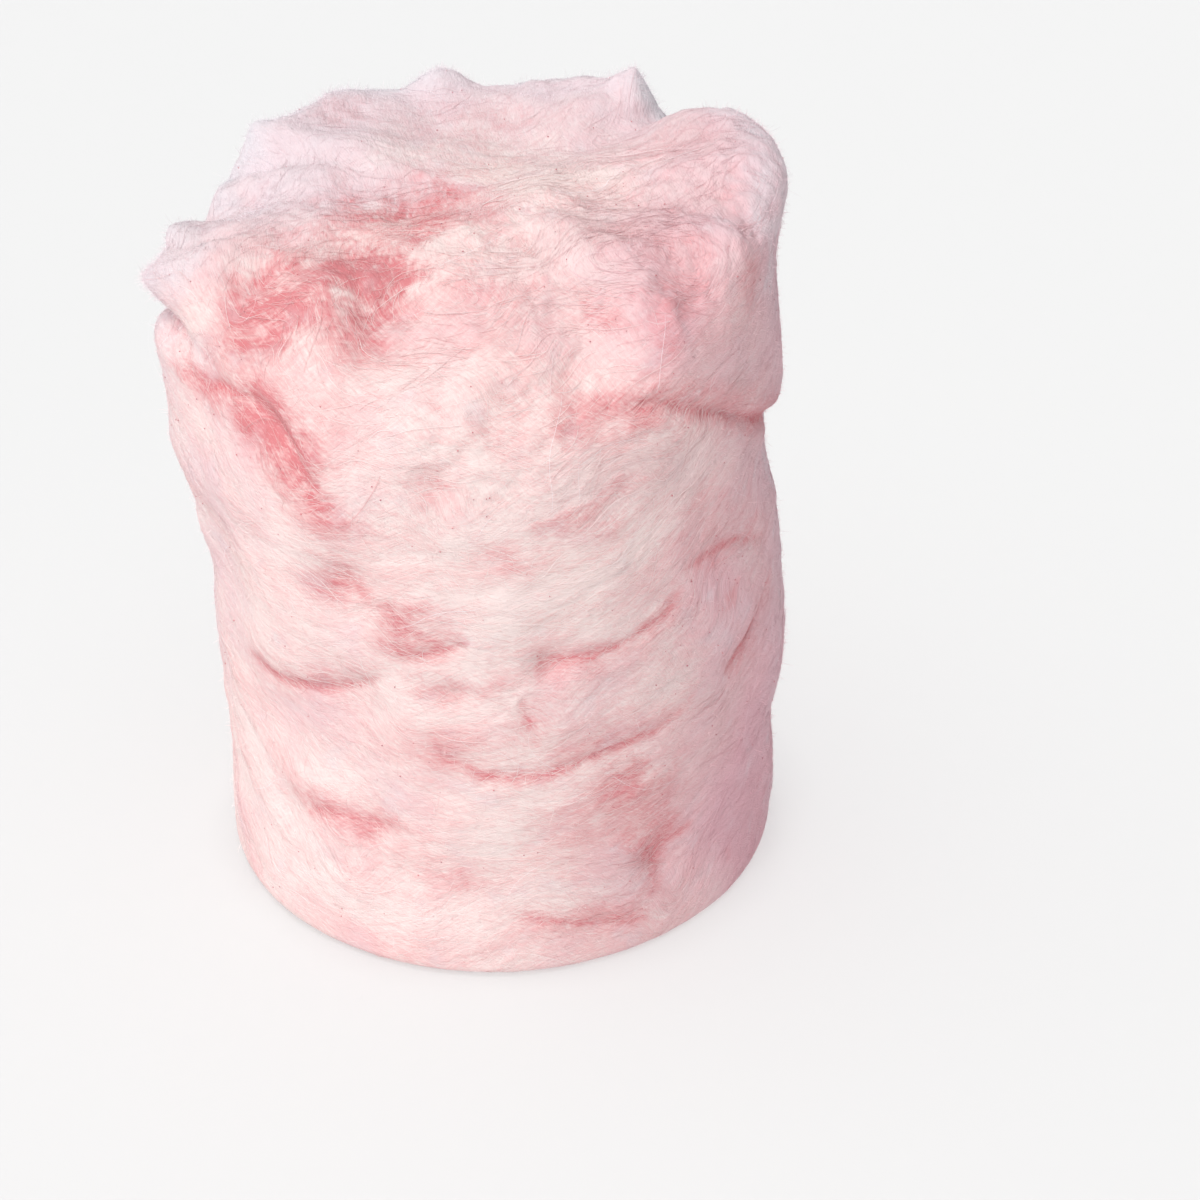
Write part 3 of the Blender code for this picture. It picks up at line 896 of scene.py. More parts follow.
        # the lines of the creases stray less than the blushes
        _, _, height, angle = taken_apart(plain + LINE_FRAY * (frayed - plain))
        # painted shade: the deep-coloured lines and blushes down in the creases
        deep += crease_shade_lines(angle, height) * (1 - on_crown) * np.clip(1.0 + patch + mottle, 0.1, 3.0)
        # painted shade in the hollows between the torn lumps
        hollow_shade = np.clip(-torn - 0.2, 0.0, 1.0) * self.raggedness
        deep += 0.05 * broad * (deep > 0.1) + 0.22 * hollow_shade
        self.packing_and_shade = 1.0 - np.exp(-PACKING_AND_SHADE_STRENGTH * deep.clip(0.0))
        x, y, height, angle = taken_apart(plain)
        sway = zip(TONE_SWAY, (patch, mottle, bands, broad, fine))
        self.tone = sum((share * uneven for share, uneven in sway), TONE_LEVEL)
        self.tone += wall_spots(ROSE_SPOTS, angle, height)
        self.tone = np.clip(self.tone - self.pale, 0.0, 1.0)
        from_middle = ramp(np.hypot(x, y), 0.0, 50.0)
        back = ramp(y - 0.4 * x, -4.0, 40.0) * ramp(height, 118.0, 8.0)
        rim = ramp(height, 126.0, 12.0) * from_middle**3
        left = facing(angle, -95.0, 36.0) * ramp(height, 10.0, 40.0)
        # round the right side the lilac is partly thin floss at the edge, partly painted shade
        right = facing(angle, 106.0, 31.0) * (1 - 0.8 * on_crown)
        self.haze_and_shade = 0.75 * back + 0.5 * rim + 0.6 * left + 0.8 * right + 0.3 * patch + 0.1 * mottle
        self.haze_and_shade = np.clip(self.haze_and_shade - 0.05, 0.0, 1.0)
        # painted shade: greyer round the right side, turned from the key lamp
        inner = on_crown * (1.0 - from_middle**2)
        painted_shade = facing(angle, 100.0, 51.0) * (1.0 - 0.7 * back) * (1.0 - inner)
        painted_shade += crown_spots(CROWN_PAINTED_SHADE_SPOTS, x, y) * on_crown
        painted_shade += wall_spots(PAINTED_SHADE_SPOTS, angle, height)
        self.painted_shade = np.clip(painted_shade + 0.2 * patch, 0.0, 1.0)
        # mist at the rim, the tuft tips and the left flap: thin floss, with painted see-through light
        edge = bell(np.hypot(x, y) - 49.5, 4.5) * ramp(height, 118.0, 12.0) * ramp(y, -34.0, 30.0)
        for middle, radius, level, reach, _, _ in TUFTS:
            edge += 0.8 * tuft_share(plain, middle, radius, level, reach)[0]
        flap = spot_on_wall(angle, height, -84.0, 115.0, 20.0, 4.0)
        self.mist = np.clip(0.8 * edge + 0.6 * flap + 0.4 * mottle - 0.12, 0.0, 1.0)

    def masks(self, u, v):
        """The colour masks at some places of the net."""
        return {mask: at(getattr(self, mask), u, v) for mask in MASKS}

    def scatter(self, count, draw, weight=None):
        """Net places spread evenly over the skin, or as thickly as weight says."""
        share = self.area if weight is None else self.area * weight
        share = share.ravel() / share.sum()
        cell = draw.choice(share.size, size=count, p=share)
        v, u = np.divmod(cell, self.places.shape[1])
        return u + draw.random(count), v + draw.random(count)

    def spot(self, angle, height):
        """The net place on the wall at an angle and a height."""
        columns = self.places.shape[1]
        u = (angle + 180.0) / 360.0 * columns
        line = self.places[:, int(u) % columns, 2]
        over = np.nonzero(line >= height)[0]
        return u, float(over[0] if len(over) else line.argmax())


def at(values, u, v):
    """Values of a net at places between its points, wrapping round the block."""
    rows, columns = values.shape[:2]
    v = np.clip(v, 0.0, rows - 1.001)
    i, j = np.floor(u).astype(int), np.floor(v).astype(int)
    fu, fv = u - i, v - j
    if values.ndim == 3:
        fu, fv = fu[..., None], fv[..., None]
    i, after = i % columns, (i + 1) % columns
    low = values[j, i] * (1 - fu) + values[j, after] * fu
    high = values[j + 1, i] * (1 - fu) + values[j + 1, after] * fu
    return low * (1 - fv) + high * fv


def blurred(values, times):
    for _ in range(times):
        values = (values + np.roll(values, 1, axis=1) + np.roll(values, -1, axis=1)) / 3
        up = np.concatenate([values[:1], values[:-1]])
        down = np.concatenate([values[1:], values[-1:]])
        values = (values + up + down) / 3
    return values


def unit(vectors):
    return vectors / np.maximum(np.linalg.norm(vectors, axis=-1, keepdims=True), 1e-9)


@functools.cache
def skin_net():
    settings = bpy.context.scene.floss_shape
    return Net(settings)


def write_mesh(name, places, faces, masks):
    """A mesh object from places in millimetres and faces of equal size, with its colour masks."""
    data = bpy.data.meshes.new(name)
    count, corners = faces.shape
    data.vertices.add(len(places))
    data.vertices.foreach_set("co", (places * MM).astype(np.float32).ravel())
    data.loops.add(count * corners)
    data.loops.foreach_set("vertex_index", faces.astype(np.int32).ravel())
    data.polygons.add(count)
    data.polygons.foreach_set("loop_start", np.arange(0, count * corners, corners, dtype=np.int32))
    data.update(calc_edges=True)
    for mask, values in masks.items():
        values = np.asarray(values, dtype=np.float32)
        kind = "FLOAT_VECTOR" if values.ndim == 2 else "FLOAT"
        attribute = data.attributes.new(mask, kind, "POINT")
        attribute.data.foreach_set("vector" if values.ndim == 2 else "value", values.ravel())
    data.shade_smooth()
    made = bpy.data.objects.new(name, data)
    bpy.context.scene.collection.objects.link(made)
    return made


def declare(piece, material):
    piece.data.materials.append(material)
    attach(piece, "root")


def ribbons(name, net, u, v, paths, sides, widths, material, brighten):
    """One mesh of flat fibres. paths and sides are count x points x 3, widths is count x points."""
    count, points = widths.shape
    half = sides * widths[..., None] / 2
    places = np.stack([paths - half, paths + half], axis=2).reshape(-1, 3)
    first = (np.arange(count)[:, None] * points + np.arange(points - 1)[None]) * 2
    faces = np.stack([first, first + 1, first + 3, first + 2], axis=-1).reshape(-1, 4)
    masks = net.masks(u, v)
    masks["tone"] = np.clip(masks["tone"] + brighten, 0.0, 1.0)
    masks = {mask: np.repeat(values, points * 2) for mask, values in masks.items()}
    declare(write_mesh(name, places, faces, masks), material)


def rounded_taper(points, end, power):
    """A fibre's width along it, as a share, widest in the middle."""
    return np.sin(np.linspace(end, np.pi - end, points)) ** power


def comb_places(net, u, v):
    """Where a place lies, with its level in the comb for a height, for streaks of colour."""
    places = at(net.places, u, v)
    places[..., 2] = at(net.level, u, v)
    return places


def cleared(places):
    """Fibre places lifted clear of the floor."""
    places[..., 2] = np.maximum(places[..., 2], FLOOR_CLEARANCE)
    return places


def standing_paths(net, u, v, length, points, lean, curl, root, slack, bend):
    """Fibres that stand off the skin, rooted in it, and curl the more towards their tips."""
    share = np.linspace(0.0, 1.0, points)[None, :, None]
    way = lean[:, None] * share * (1 - slack * share) + curl[:, None] * share**2 * bend
    start = at(net.places, u, v)[:, None] - root * unit(at(net.normal, u, v))[:, None]
    return start + length[:, None, None] * way


def standing_sides(places, draw):
    """Which way each fibre is broad, at random round it."""
    along = unit(np.gradient(places, axis=1))
    return unit(np.cross(along, draw.normal(0.0, 1.0, (len(places), 3))[:, None]))


def laid_paths(net, u, v, length, points, draw, stray, bend, lift, wave):
    """Fibres that lie along the comb, raised in the middle and tucked in at both ends."""
    count = len(u)
    way = draw.choice([-1.0, 1.0], count)
    turn = draw.normal(0.0, stray, count)
    curl = draw.normal(0.0, bend, count)
    path_u, path_v = net.walk(u, v, way * length / (points - 1), points - 1, turn, curl)
    path_u, path_v = np.stack(path_u, axis=1), np.stack(path_v, axis=1)
    places, normal = at(net.places, path_u, path_v), unit(at(net.normal, path_u, path_v))
    share = np.linspace(0.0, 1.0, points)
    arch = np.sin(np.pi * share) ** 0.6
    places = places + normal * (lift[:, None] * arch - MATTED_ROOT)[..., None]
    along = unit(np.gradient(places, axis=1))
    side = unit(np.cross(normal, along))
    phase = draw.random(count) * 2 * np.pi
    sway = wave * np.sin(share[None] * draw.uniform(3.0, 8.0, count)[:, None] + phase[:, None])
    tilt = draw.normal(0.0, 0.2, count)
    return cleared(places + side * sway[..., None]), unit(side + normal * tilt[:, None, None])


def lay_fibres(name, count, draw, width, taper, material, weight=None):
    """One piece of fibres that lie along the comb."""
    net = skin_net()
    points, (mean, least), lengths, (stray, bend, wave), widths, brighten = LAID_FIBRES[name]
    u, v = net.scatter(count, draw, weight)
    lift = draw.exponential(mean, count) + least
    length = draw.uniform(*lengths, count)
    places, side = laid_paths(net, u, v, length, points, draw, stray, bend, lift, wave)
    width = width * draw.uniform(*widths, count)[:, None] * taper
    ribbons(name, net, u, v, places, side, width, material, draw.normal(*brighten, count))


class FlossShape(bpy.types.PropertyGroup):
    """How the skin of the block is worked."""

    crease_sharpness: bpy.props.FloatProperty(
        name="Crease sharpness",
        description="Width of the creases, as a share of their width in the solid",
        default=0.4, min=0.2, max=1.0, subtype="FACTOR",
    )
    broad_relief: bpy.props.FloatProperty(
        name="Broad relief",
        description="How far the broad combed bands stand off the skin, in millimetres",
        default=0.07, min=0.0, max=2.0,
    )
    fine_relief: bpy.props.FloatProperty(
        name="Fine relief",
        description="How far the fine combed ridges stand off the skin, in millimetres",
        default=0.05, min=0.0, max=1.0,
    )
    torn_relief: bpy.props.FloatProperty(
        name="Torn relief",
        description="How far the ragged lumps of the torn crown stand, in millimetres",
        default=0.75, min=0.0, max=4.0,
    )


class FlossFibres(bpy.types.PropertyGroup):
    """How many fibres there are, and how thick."""

    matted_count: bpy.props.IntProperty(
        name="Matted fibres", description="Short fibres that lie on the skin", default=19000, min=100,
    )
    long_count: bpy.props.IntProperty(
        name="Long fibres", description="Long fibres drawn along the comb", default=7000, min=100,
    )
    fuzz_count: bpy.props.IntProperty(
        name="Fuzz", description="Short fibres that stand off the skin", default=48000, min=100,
    )
    hair_count: bpy.props.IntProperty(
        name="Loose hairs", description="Long hairs that lie loosely over the block", default=150, min=10,
    )
    grain_count: bpy.props.IntProperty(
        name="Sugar grains", description="Tiny dark grains caught in the floss", default=520, min=10,
    )
    matted_width: bpy.props.FloatProperty(
        name="Matted width", description="Width of a matted fibre, in millimetres",
        default=0.075, min=0.02, max=0.5,
    )
    fuzz_width: bpy.props.FloatProperty(
        name="Fuzz width", description="Width of a standing fibre at its root, in millimetres",
        default=0.045, min=0.02, max=0.5,
    )


class FlossColours(bpy.types.PropertyGroup):
    """The colours of the floss."""

    pale: bpy.props.FloatVectorProperty(
        name="Pale", description="Thick floss in full light", default=(0.96, 0.80, 0.78),
        size=3, min=0.0, max=1.0, subtype="COLOR",
    )
    rose: bpy.props.FloatVectorProperty(
        name="Rose", description="The denser floss between the pale bands",
        default=(0.91, 0.575, 0.575), size=3, min=0.0, max=1.0, subtype="COLOR",
    )
    # The deep colour is partly packed floss and partly painted shade in the creases and pits
    deep: bpy.props.FloatVectorProperty(
        name="Deep", description="Floss down in the creases and pits",
        default=(0.74, 0.262, 0.282), size=3, min=0.0, max=1.0, subtype="COLOR",
    )
    # The lilac is partly thin floss and partly painted shade round the right side
    lilac: bpy.props.FloatVectorProperty(
        name="Lilac", description="Thin floss at the rim and the edges",
        default=(0.84, 0.715, 0.765), size=3, min=0.0, max=1.0, subtype="COLOR",
    )
    # Painted shade round the right side, turned from the key lamp
    shade_colour: bpy.props.FloatVectorProperty(
        name="Shade_colour", description="The greyer floss round the right side",
        default=(0.80, 0.475, 0.535), size=3, min=0.0, max=1.0, subtype="COLOR",
    )
    # The mist is thin floss, with painted light seen through it
    mist: bpy.props.FloatVectorProperty(
        name="Mist", description="The thinnest floss, at the tips of the tufts and along the rim",
        default=(0.80, 0.775, 0.82), size=3, min=0.0, max=1.0, subtype="COLOR",
    )
    strand: bpy.props.FloatVectorProperty(
        name="Strand", description="The brightest fibres that lie on the skin",
        default=(0.97, 0.83, 0.82), size=3, min=0.0, max=1.0, subtype="COLOR",
    )
    grain: bpy.props.FloatVectorProperty(
        name="Grain", description="The darkest of the sugar grains",
        default=(0.55, 0.17, 0.22), size=3, min=0.0, max=1.0, subtype="COLOR",
    )
    wisp: bpy.props.FloatVectorProperty(
        name="Wisp", description="Single fibres that stand off the block",
        default=(0.93, 0.90, 0.94), size=3, min=0.0, max=1.0, subtype="COLOR",
    )


def node(tree, kind, place, **values):
    made = tree.nodes.new(kind)
    made.location = place
    for key, value in values.items():
        setattr(made, key, value)
    return made


def new_group(name, inputs, outputs):
    """An empty shader group with its sockets, and its two end nodes."""
    tree = bpy.data.node_groups.new(name, "ShaderNodeTree")
    for ends, way in ((inputs, "INPUT"), (outputs, "OUTPUT")):
        for socket, kind in ends.items():
            tree.interface.new_socket(socket, in_out=way, socket_type=kind)
    return tree, node(tree, "NodeGroupInput", (-1200, 0)), node(tree, "NodeGroupOutput", (1100, 0))


def calculated(tree, operation, place, *values, clamp=False):
    """The output of a maths node, each of whose values is a socket or a number."""
    made = node(tree, "ShaderNodeMath", place, operation=operation, use_clamp=clamp)
    for socket, value in zip(made.inputs, values):
        if isinstance(value, (int, float)):
            socket.default_value = value
        else:
            tree.links.new(value, socket)
    return made.outputs[0]


def floss_strands_group():
    """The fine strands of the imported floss: how uneven its colour is, and its relief."""
    name = "floss_strands"
    if name in bpy.data.node_groups:
        return bpy.data.node_groups[name]
    outputs = {"Uneven": "NodeSocketFloat", "Height": "NodeSocketFloat"}
    tree, _, leave = new_group(name, {}, outputs)
    link = tree.links.new
    comb = node(tree, "ShaderNodeAttribute", (-1200, -300), attribute_name="comb")
    along = node(tree, "ShaderNodeVectorMath", (-1000, -300), operation="MULTIPLY")
    along.inputs[1].default_value = (1.0, 1.0, 0.0)
    link(comb.outputs["Vector"], along.inputs[0])
    uneven, height = 0.0, 0.0
    for row, (spread, scale, lean, colour_share, relief_share) in enumerate(STRANDS):
        place = -300 * row
        leaning = node(tree, "ShaderNodeVectorMath", (-800, place), operation="DOT_PRODUCT")
        leaning.inputs[1].default_value = (lean, 0.7 * abs(lean), 1.0)
        link(comb.outputs["Vector"], leaning.inputs[0])
        across = node(tree, "ShaderNodeCombineXYZ", (-640, place))
        link(leaning.outputs["Value"], across.inputs["Z"])
        drawn = node(tree, "ShaderNodeVectorMath", (-480, place), operation="MULTIPLY_ADD")
        drawn.inputs[1].default_value = (spread / scale, spread / scale, 0.0)
        link(along.outputs[0], drawn.inputs[0])
        link(across.outputs[0], drawn.inputs[2])
        streak = node(tree, "ShaderNodeTexNoise", (-320, place))
        streak.inputs["Scale"].default_value = scale
        streak.inputs["Detail"].default_value = 2.0
        link(drawn.outputs[0], streak.inputs["Vector"])
        centred = calculated(tree, "SUBTRACT", (-160, place), streak.outputs["Fac"], 0.5)
        uneven = calculated(tree, "MULTIPLY_ADD", (20, place), centred, colour_share, uneven)
        height = calculated(tree, "MULTIPLY_ADD", (180, place), centred, relief_share, height)
    where = node(tree, "ShaderNodeTexCoord", (-1000, -1500))
    felt = node(tree, "ShaderNodeTexNoise", (-320, -1500))
    felt.inputs["Scale"].default_value = FELT_SCALE
    felt.inputs["Detail"].default_value = 3.0
    felt.inputs["Roughness"].default_value = 0.65
    link(where.outputs["Object"], felt.inputs["Vector"])
    centred = calculated(tree, "SUBTRACT", (-160, -1500), felt.outputs["Fac"], 0.5)
    link(calculated(tree, "ADD", (400, -300), centred, uneven), leave.inputs["Uneven"])
    link(calculated(tree, "MULTIPLY_ADD", (400, -600), centred, 0.55, height), leave.inputs["Height"])
    return tree


def floss_tint_group():
    """Colour of the floss from its masks, made uneven by what comes in."""
    name = "floss_tint"
    if name in bpy.data.node_groups:
        return bpy.data.node_groups[name]
    inputs = {colour: "NodeSocketColor" for colour in ("Pale", "Rose", "Deep", "Lilac", "Shade_colour", "Mist")}
    inputs |= {value: "NodeSocketFloat" for value in ("Uneven", "Streaks", "Packing And Shade Depth", "Haze And Shade Depth")}
    tree, enter, leave = new_group(name, inputs, {"Color": "NodeSocketColor"})
    masks = {}
    for row, mask in enumerate(MASKS):
        made = node(tree, "ShaderNodeAttribute", (-1200, -300 - 200 * row), attribute_name=mask)
        masks[mask] = made.outputs["Fac"]

    def mixed(factor, first, second, place):
        made = node(tree, "ShaderNodeMix", place, data_type="RGBA")
        tree.links.new(factor, made.inputs["Factor"])
        tree.links.new(first, made.inputs[6])
        tree.links.new(second, made.inputs[7])
        return made.outputs[2]

    come = enter.outputs
    tone = calculated(
        tree, "MULTIPLY_ADD", (-700, -200), come["Uneven"], come["Streaks"], masks["tone"], clamp=True
    )
    haze_and_shade = calculated(tree, "MULTIPLY", (-200, -350), masks["haze_and_shade"], come["Haze And Shade Depth"], clamp=True)
    mist = calculated(tree, "MULTIPLY", (200, -500), masks["mist"], come["Haze And Shade Depth"], clamp=True)
    ragged = calculated(tree, "MULTIPLY_ADD", (-400, -700), come["Uneven"], PACKING_AND_SHADE_FRAY, 1.0)
    frayed = calculated(tree, "MULTIPLY", (0, -500), masks["packing_and_shade"], ragged, clamp=True)
    packing_and_shade = calculated(tree, "MULTIPLY", (200, -350), frayed, come["Packing And Shade Depth"], clamp=True)
    colour = mixed(tone, come["Pale"], come["Rose"], (-500, 0))
    # painted shade on the side turned from the key lamp
    colour = mixed(masks["painted_shade"], colour, come["Shade_colour"], (-200, 0))
    # lilac: thin hazy floss, and painted shade round the right side
    colour = mixed(haze_and_shade, colour, come["Lilac"], (200, 0))
    # deep colour: packed floss, and painted shade in the creases and pits
    colour = mixed(packing_and_shade, colour, come["Deep"], (500, 0))
    # mist: thin floss, with painted see-through light
    colour = mixed(mist, colour, come["Mist"], (800, 0))
    tree.links.new(colour, leave.inputs["Color"])
    return tree


def floss_material(name, streaks, packing_and_shade, haze_and_shade, bump=0.0, pale=None, glow=0.0):
    """Soft, matt floss. The colour comes from the shared tint group."""
    if name in bpy.data.materials:
        return bpy.data.materials[name]
    colours = bpy.context.scene.floss_colours
    material = bpy.data.materials.new(name)
    material.use_nodes = True
    tree = material.node_tree
    shader = tree.nodes["Principled BSDF"]
    tint = node(tree, "ShaderNodeGroup", (-400, 200), node_tree=floss_tint_group())
    for colour in ("pale", "rose", "deep", "lilac", "shade_colour", "mist"):
        tint.inputs[colour.capitalize()].default_value = (*getattr(colours, colour), 1.0)
    if pale:
        tint.inputs["Pale"].default_value = (*pale, 1.0)
    tint.inputs["Streaks"].default_value = streaks
    tint.inputs["Packing And Shade Depth"].default_value = packing_and_shade
    tint.inputs["Haze And Shade Depth"].default_value = haze_and_shade
    tree.links.new(tint.outputs["Color"], shader.inputs["Base Color"])
    shader.inputs["Roughness"].default_value = 0.95
    shader.inputs["Specular IOR Level"].default_value = 0.08
    if glow:
        # light that comes through a thin fibre from behind
        shader.inputs["Emission Color"].default_value = (*(pale or colours.pale), 1.0)
        shader.inputs["Emission Strength"].default_value = glow
    if bump:
        strands = node(tree, "ShaderNodeGroup", (-700, 0), node_tree=floss_strands_group())
        relief = node(tree, "ShaderNodeBump", (-200, -200))
        relief.inputs["Strength"].default_value = bump
        relief.inputs["Distance"].default_value = 0.0005
        tree.links.new(strands.outputs["Uneven"], tint.inputs["Uneven"])
        tree.links.new(strands.outputs["Height"], relief.inputs["Height"])
        tree.links.new(relief.outputs["Normal"], shader.inputs["Normal"])
    return material


def wisp_material():
    """The pale floss of single fibres."""
    wisp = tuple(bpy.context.scene.floss_colours.wisp)
    return floss_material("wisp_floss", 0.0, 0.2, 0.2, pale=wisp, glow=0.12)


class FLOSS_OT_body(bpy.types.Operator):
    """The skin of the block, with its creases, pits and combed relief"""

    bl_idname = "floss.body"
    bl_label = "Floss body"

    def execute(self, context):
        net = skin_net()
        rows, columns = net.places.shape[:2]
        foot = net.places[0].mean(axis=0) * (1, 1, 0)
        places = np.concatenate([net.places[:-1].reshape(-1, 3), net.places[-1:, 0], foot[None]])
        after = (np.arange(columns) + 1) % columns
        here = np.arange(columns)
        faces = []
        for j in range(rows - 2):
            a, b = j * columns + here, j * columns + after
            c, d = b + columns, a + columns
            faces += [np.stack([a, b, c], axis=1), np.stack([a, c, d], axis=1)]
        top, crown, under = (rows - 2) * columns, len(places) - 2, len(places) - 1
        faces.append(np.stack([top + here, top + after, np.full(columns, crown)], axis=1))
        faces.append(np.stack([after, here, np.full(columns, under)], axis=1))
        v, u = np.meshgrid(np.arange(rows - 1.0), np.arange(columns, dtype=float), indexing="ij")
        u = np.concatenate([u.ravel(), [0.0, 0.0]])
        v = np.concatenate([v.ravel(), [rows - 1.0, 0.0]])
        masks = net.masks(u, v) | {"comb": comb_places(net, u, v)}
        piece = write_mesh("floss_body", places, np.concatenate(faces), masks)
        declare(piece, floss_material("packed_floss", 1.0, 1.0, 0.9, bump=0.6))
        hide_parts(NODE)
        return {"FINISHED"}


class FLOSS_OT_matted(bpy.types.Operator):
    """The matted fibres that lie on the skin, short ones and long ones"""

    bl_idname = "floss.matted"
    bl_label = "Matted fibres"

    def execute(self, context):
        net, fibres = skin_net(), context.scene.floss_fibres
        pale = tuple(context.scene.floss_colours.strand)
        material = floss_material("matted_floss", 0.0, 0.7, 0.7, pale=pale)
        draw, width = np.random.default_rng(SEEDS["matted"]), fibres.matted_width
        lay_fibres("matted_fibres", fibres.matted_count, draw, width, MATTED_TAPER, material)
        taper = rounded_taper(LAID_FIBRES["long_fibres"][0], 0.25, 0.5)
        weight = 0.5 + 4.0 * net.pale
        lay_fibres("long_fibres", fibres.long_count, draw, width, taper, material, weight)
        return {"FINISHED"}


class FLOSS_OT_fuzz(bpy.types.Operator):
    """The short fuzz that stands off the skin"""

    bl_idname = "floss.fuzz"
    bl_label = "Standing fuzz"

    def execute(self, context):
        net, fibres = skin_net(), context.scene.floss_fibres
        draw = np.random.default_rng(SEEDS["fuzz"])
        count = fibres.fuzz_count
        height = net.places[..., 2]
        u, v = net.scatter(count, draw, np.clip(height / 6.0, 0.05, 1.0) * (0.8 + 2.5 * net.mist))
        normal = unit(at(net.normal, u, v))
        length = (draw.gamma(2.0, 0.22, count) + 0.25) * (1.0 + 0.8 * at(net.mist, u, v))
        lean = unit(normal * draw.uniform(0.25, 1.0, count)[:, None] + draw.normal(0.0, 0.6, (count, 3)))
        curl = draw.normal(0.0, 0.5, (count, 3))
        places = cleared(standing_paths(net, u, v, length, 3, lean, curl, FUZZ_ROOT, 0.0, 0.5))
        side = standing_sides(places, draw)
        width = fibres.fuzz_width * draw.uniform(0.6, 1.3, count)[:, None] * FUZZ_TAPER
        pale = tuple(context.scene.floss_colours.strand)
        material = floss_material("fuzz_floss", 0.0, 0.6, 0.8, pale=pale, glow=0.06)
        ribbons("standing_fuzz", net, u, v, places, side, width, material, draw.normal(-0.45, 0.2, count))
        return {"FINISHED"}


class FLOSS_OT_wisps(bpy.types.Operator):
    """The drawn-out wisps at the torn rim, the left flap and the right fold"""

    bl_idname = "floss.wisps"
    bl_label = "Rim wisps"

    def execute(self, context):
        net = skin_net()
        draw = np.random.default_rng(SEEDS["wisps"])
        starts_u, starts_v, ways, lengths = [], [], [], []
        columns = net.places.shape[1]
        for angle, height, spread, rise, count, length, out, up in WISPS:
            mid_u, mid_v = net.spot(angle, height)
            u = mid_u + draw.normal(0.0, spread, count) / 360.0 * columns
            v = np.clip(mid_v + draw.normal(0.0, rise, count), 2.0, net.places.shape[0] - 3.0)
            turn = math.radians(angle)
            way = np.array([math.sin(turn) * out, -math.cos(turn) * out, up])
            starts_u.append(u)
            starts_v.append(v)
            ways.append(np.repeat(way[None], count, axis=0))
            lengths.append(length * draw.uniform(0.35, 1.1, count))
        u, v = np.concatenate(starts_u), np.concatenate(starts_v)
        way, length = np.concatenate(ways), np.concatenate(lengths)
        count = len(u)
        lean = unit(way + 0.5 * unit(at(net.normal, u, v)) + draw.normal(0.0, 0.5, (count, 3)))
        curl = draw.normal(0.0, 0.8, (count, 3))
        places = standing_paths(net, u, v, length, 4, lean, curl, WISP_ROOT, 0.25, 0.55)
        side = standing_sides(places, draw)
        width = WISP_WIDTH * draw.uniform(0.6, 1.3, count)[:, None] * WISP_TAPER
        brighten = draw.normal(-0.6, 0.15, count)
        ribbons("rim_wisps", net, u, v, cleared(places), side, width, wisp_material(), brighten)
        return {"FINISHED"}


class FLOSS_OT_hairs(bpy.types.Operator):
    """The few long loose hairs that lie over the block"""

    bl_idname = "floss.hairs"
    bl_label = "Loose hairs"

    def execute(self, context):
        count, draw = context.scene.floss_fibres.hair_count, np.random.default_rng(SEEDS["hairs"])
        taper = rounded_taper(LAID_FIBRES["loose_hairs"][0], 0.15, 0.4)
        lay_fibres("loose_hairs", count, draw, HAIR_WIDTH, taper, wisp_material())
        return {"FINISHED"}


class FLOSS_OT_grains(bpy.types.Operator):
    """The tiny dark grains of sugar that never spun out, caught in the floss"""

    bl_idname = "floss.grains"
    bl_label = "Sugar grains"

    def execute(self, context):
        net, count = skin_net(), context.scene.floss_fibres.grain_count
        draw = np.random.default_rng(SEEDS["grains"])
        _, _, height, angle = taken_apart(net.places)
        thick = 0.25 + spot_on_wall(angle, height, *GRAIN_CLUSTER)
        u, v = net.scatter(count, draw, thick * (height > 2.0))
        middle = at(net.places, u, v) + 0.08 * unit(at(net.normal, u, v))
        size = draw.uniform(*GRAIN_SIZE, count)
        corners = np.array([[1, 0, 0], [0, 1, 0], [-1, 0, 0], [0, -1, 0], [0, 0, 1], [0, 0, -1]])
        places = middle[:, None] + corners * size[:, None, None] * draw.uniform(0.6, 1.2, (count, 6, 1))
        sides = [[0, 1, 4], [1, 2, 4], [2, 3, 4], [3, 0, 4], [1, 0, 5], [2, 1, 5], [3, 2, 5], [0, 3, 5]]
        faces = (np.arange(count)[:, None, None] * 6 + np.array(sides)).reshape(-1, 3)
        masks = {"tone": np.repeat(draw.random(count), 6)}
        piece = write_mesh("sugar_grains", places.reshape(-1, 3), faces, masks)
        declare(piece, grain_material())
        return {"FINISHED"}


def grain_material():
    """Dark rose sugar, a little glossy, each grain of its own depth of colour."""
    material = bpy.data.materials.new("grain_sugar")
    material.use_nodes = True
    tree = material.node_tree
    shader = tree.nodes["Principled BSDF"]
    tone = node(tree, "ShaderNodeAttribute", (-600, 0), attribute_name="tone")
    tint = node(tree, "ShaderNodeMix", (-300, 0), data_type="RGBA")
    tint.inputs[6].default_value = (*bpy.context.scene.floss_colours.grain, 1.0)
    tint.inputs[7].default_value = (*bpy.context.scene.floss_colours.deep, 1.0)
    tree.links.new(tone.outputs["Fac"], tint.inputs["Factor"])
    tree.links.new(tint.outputs[2], shader.inputs["Base Color"])
    shader.inputs["Roughness"].default_value = 0.35
    return material


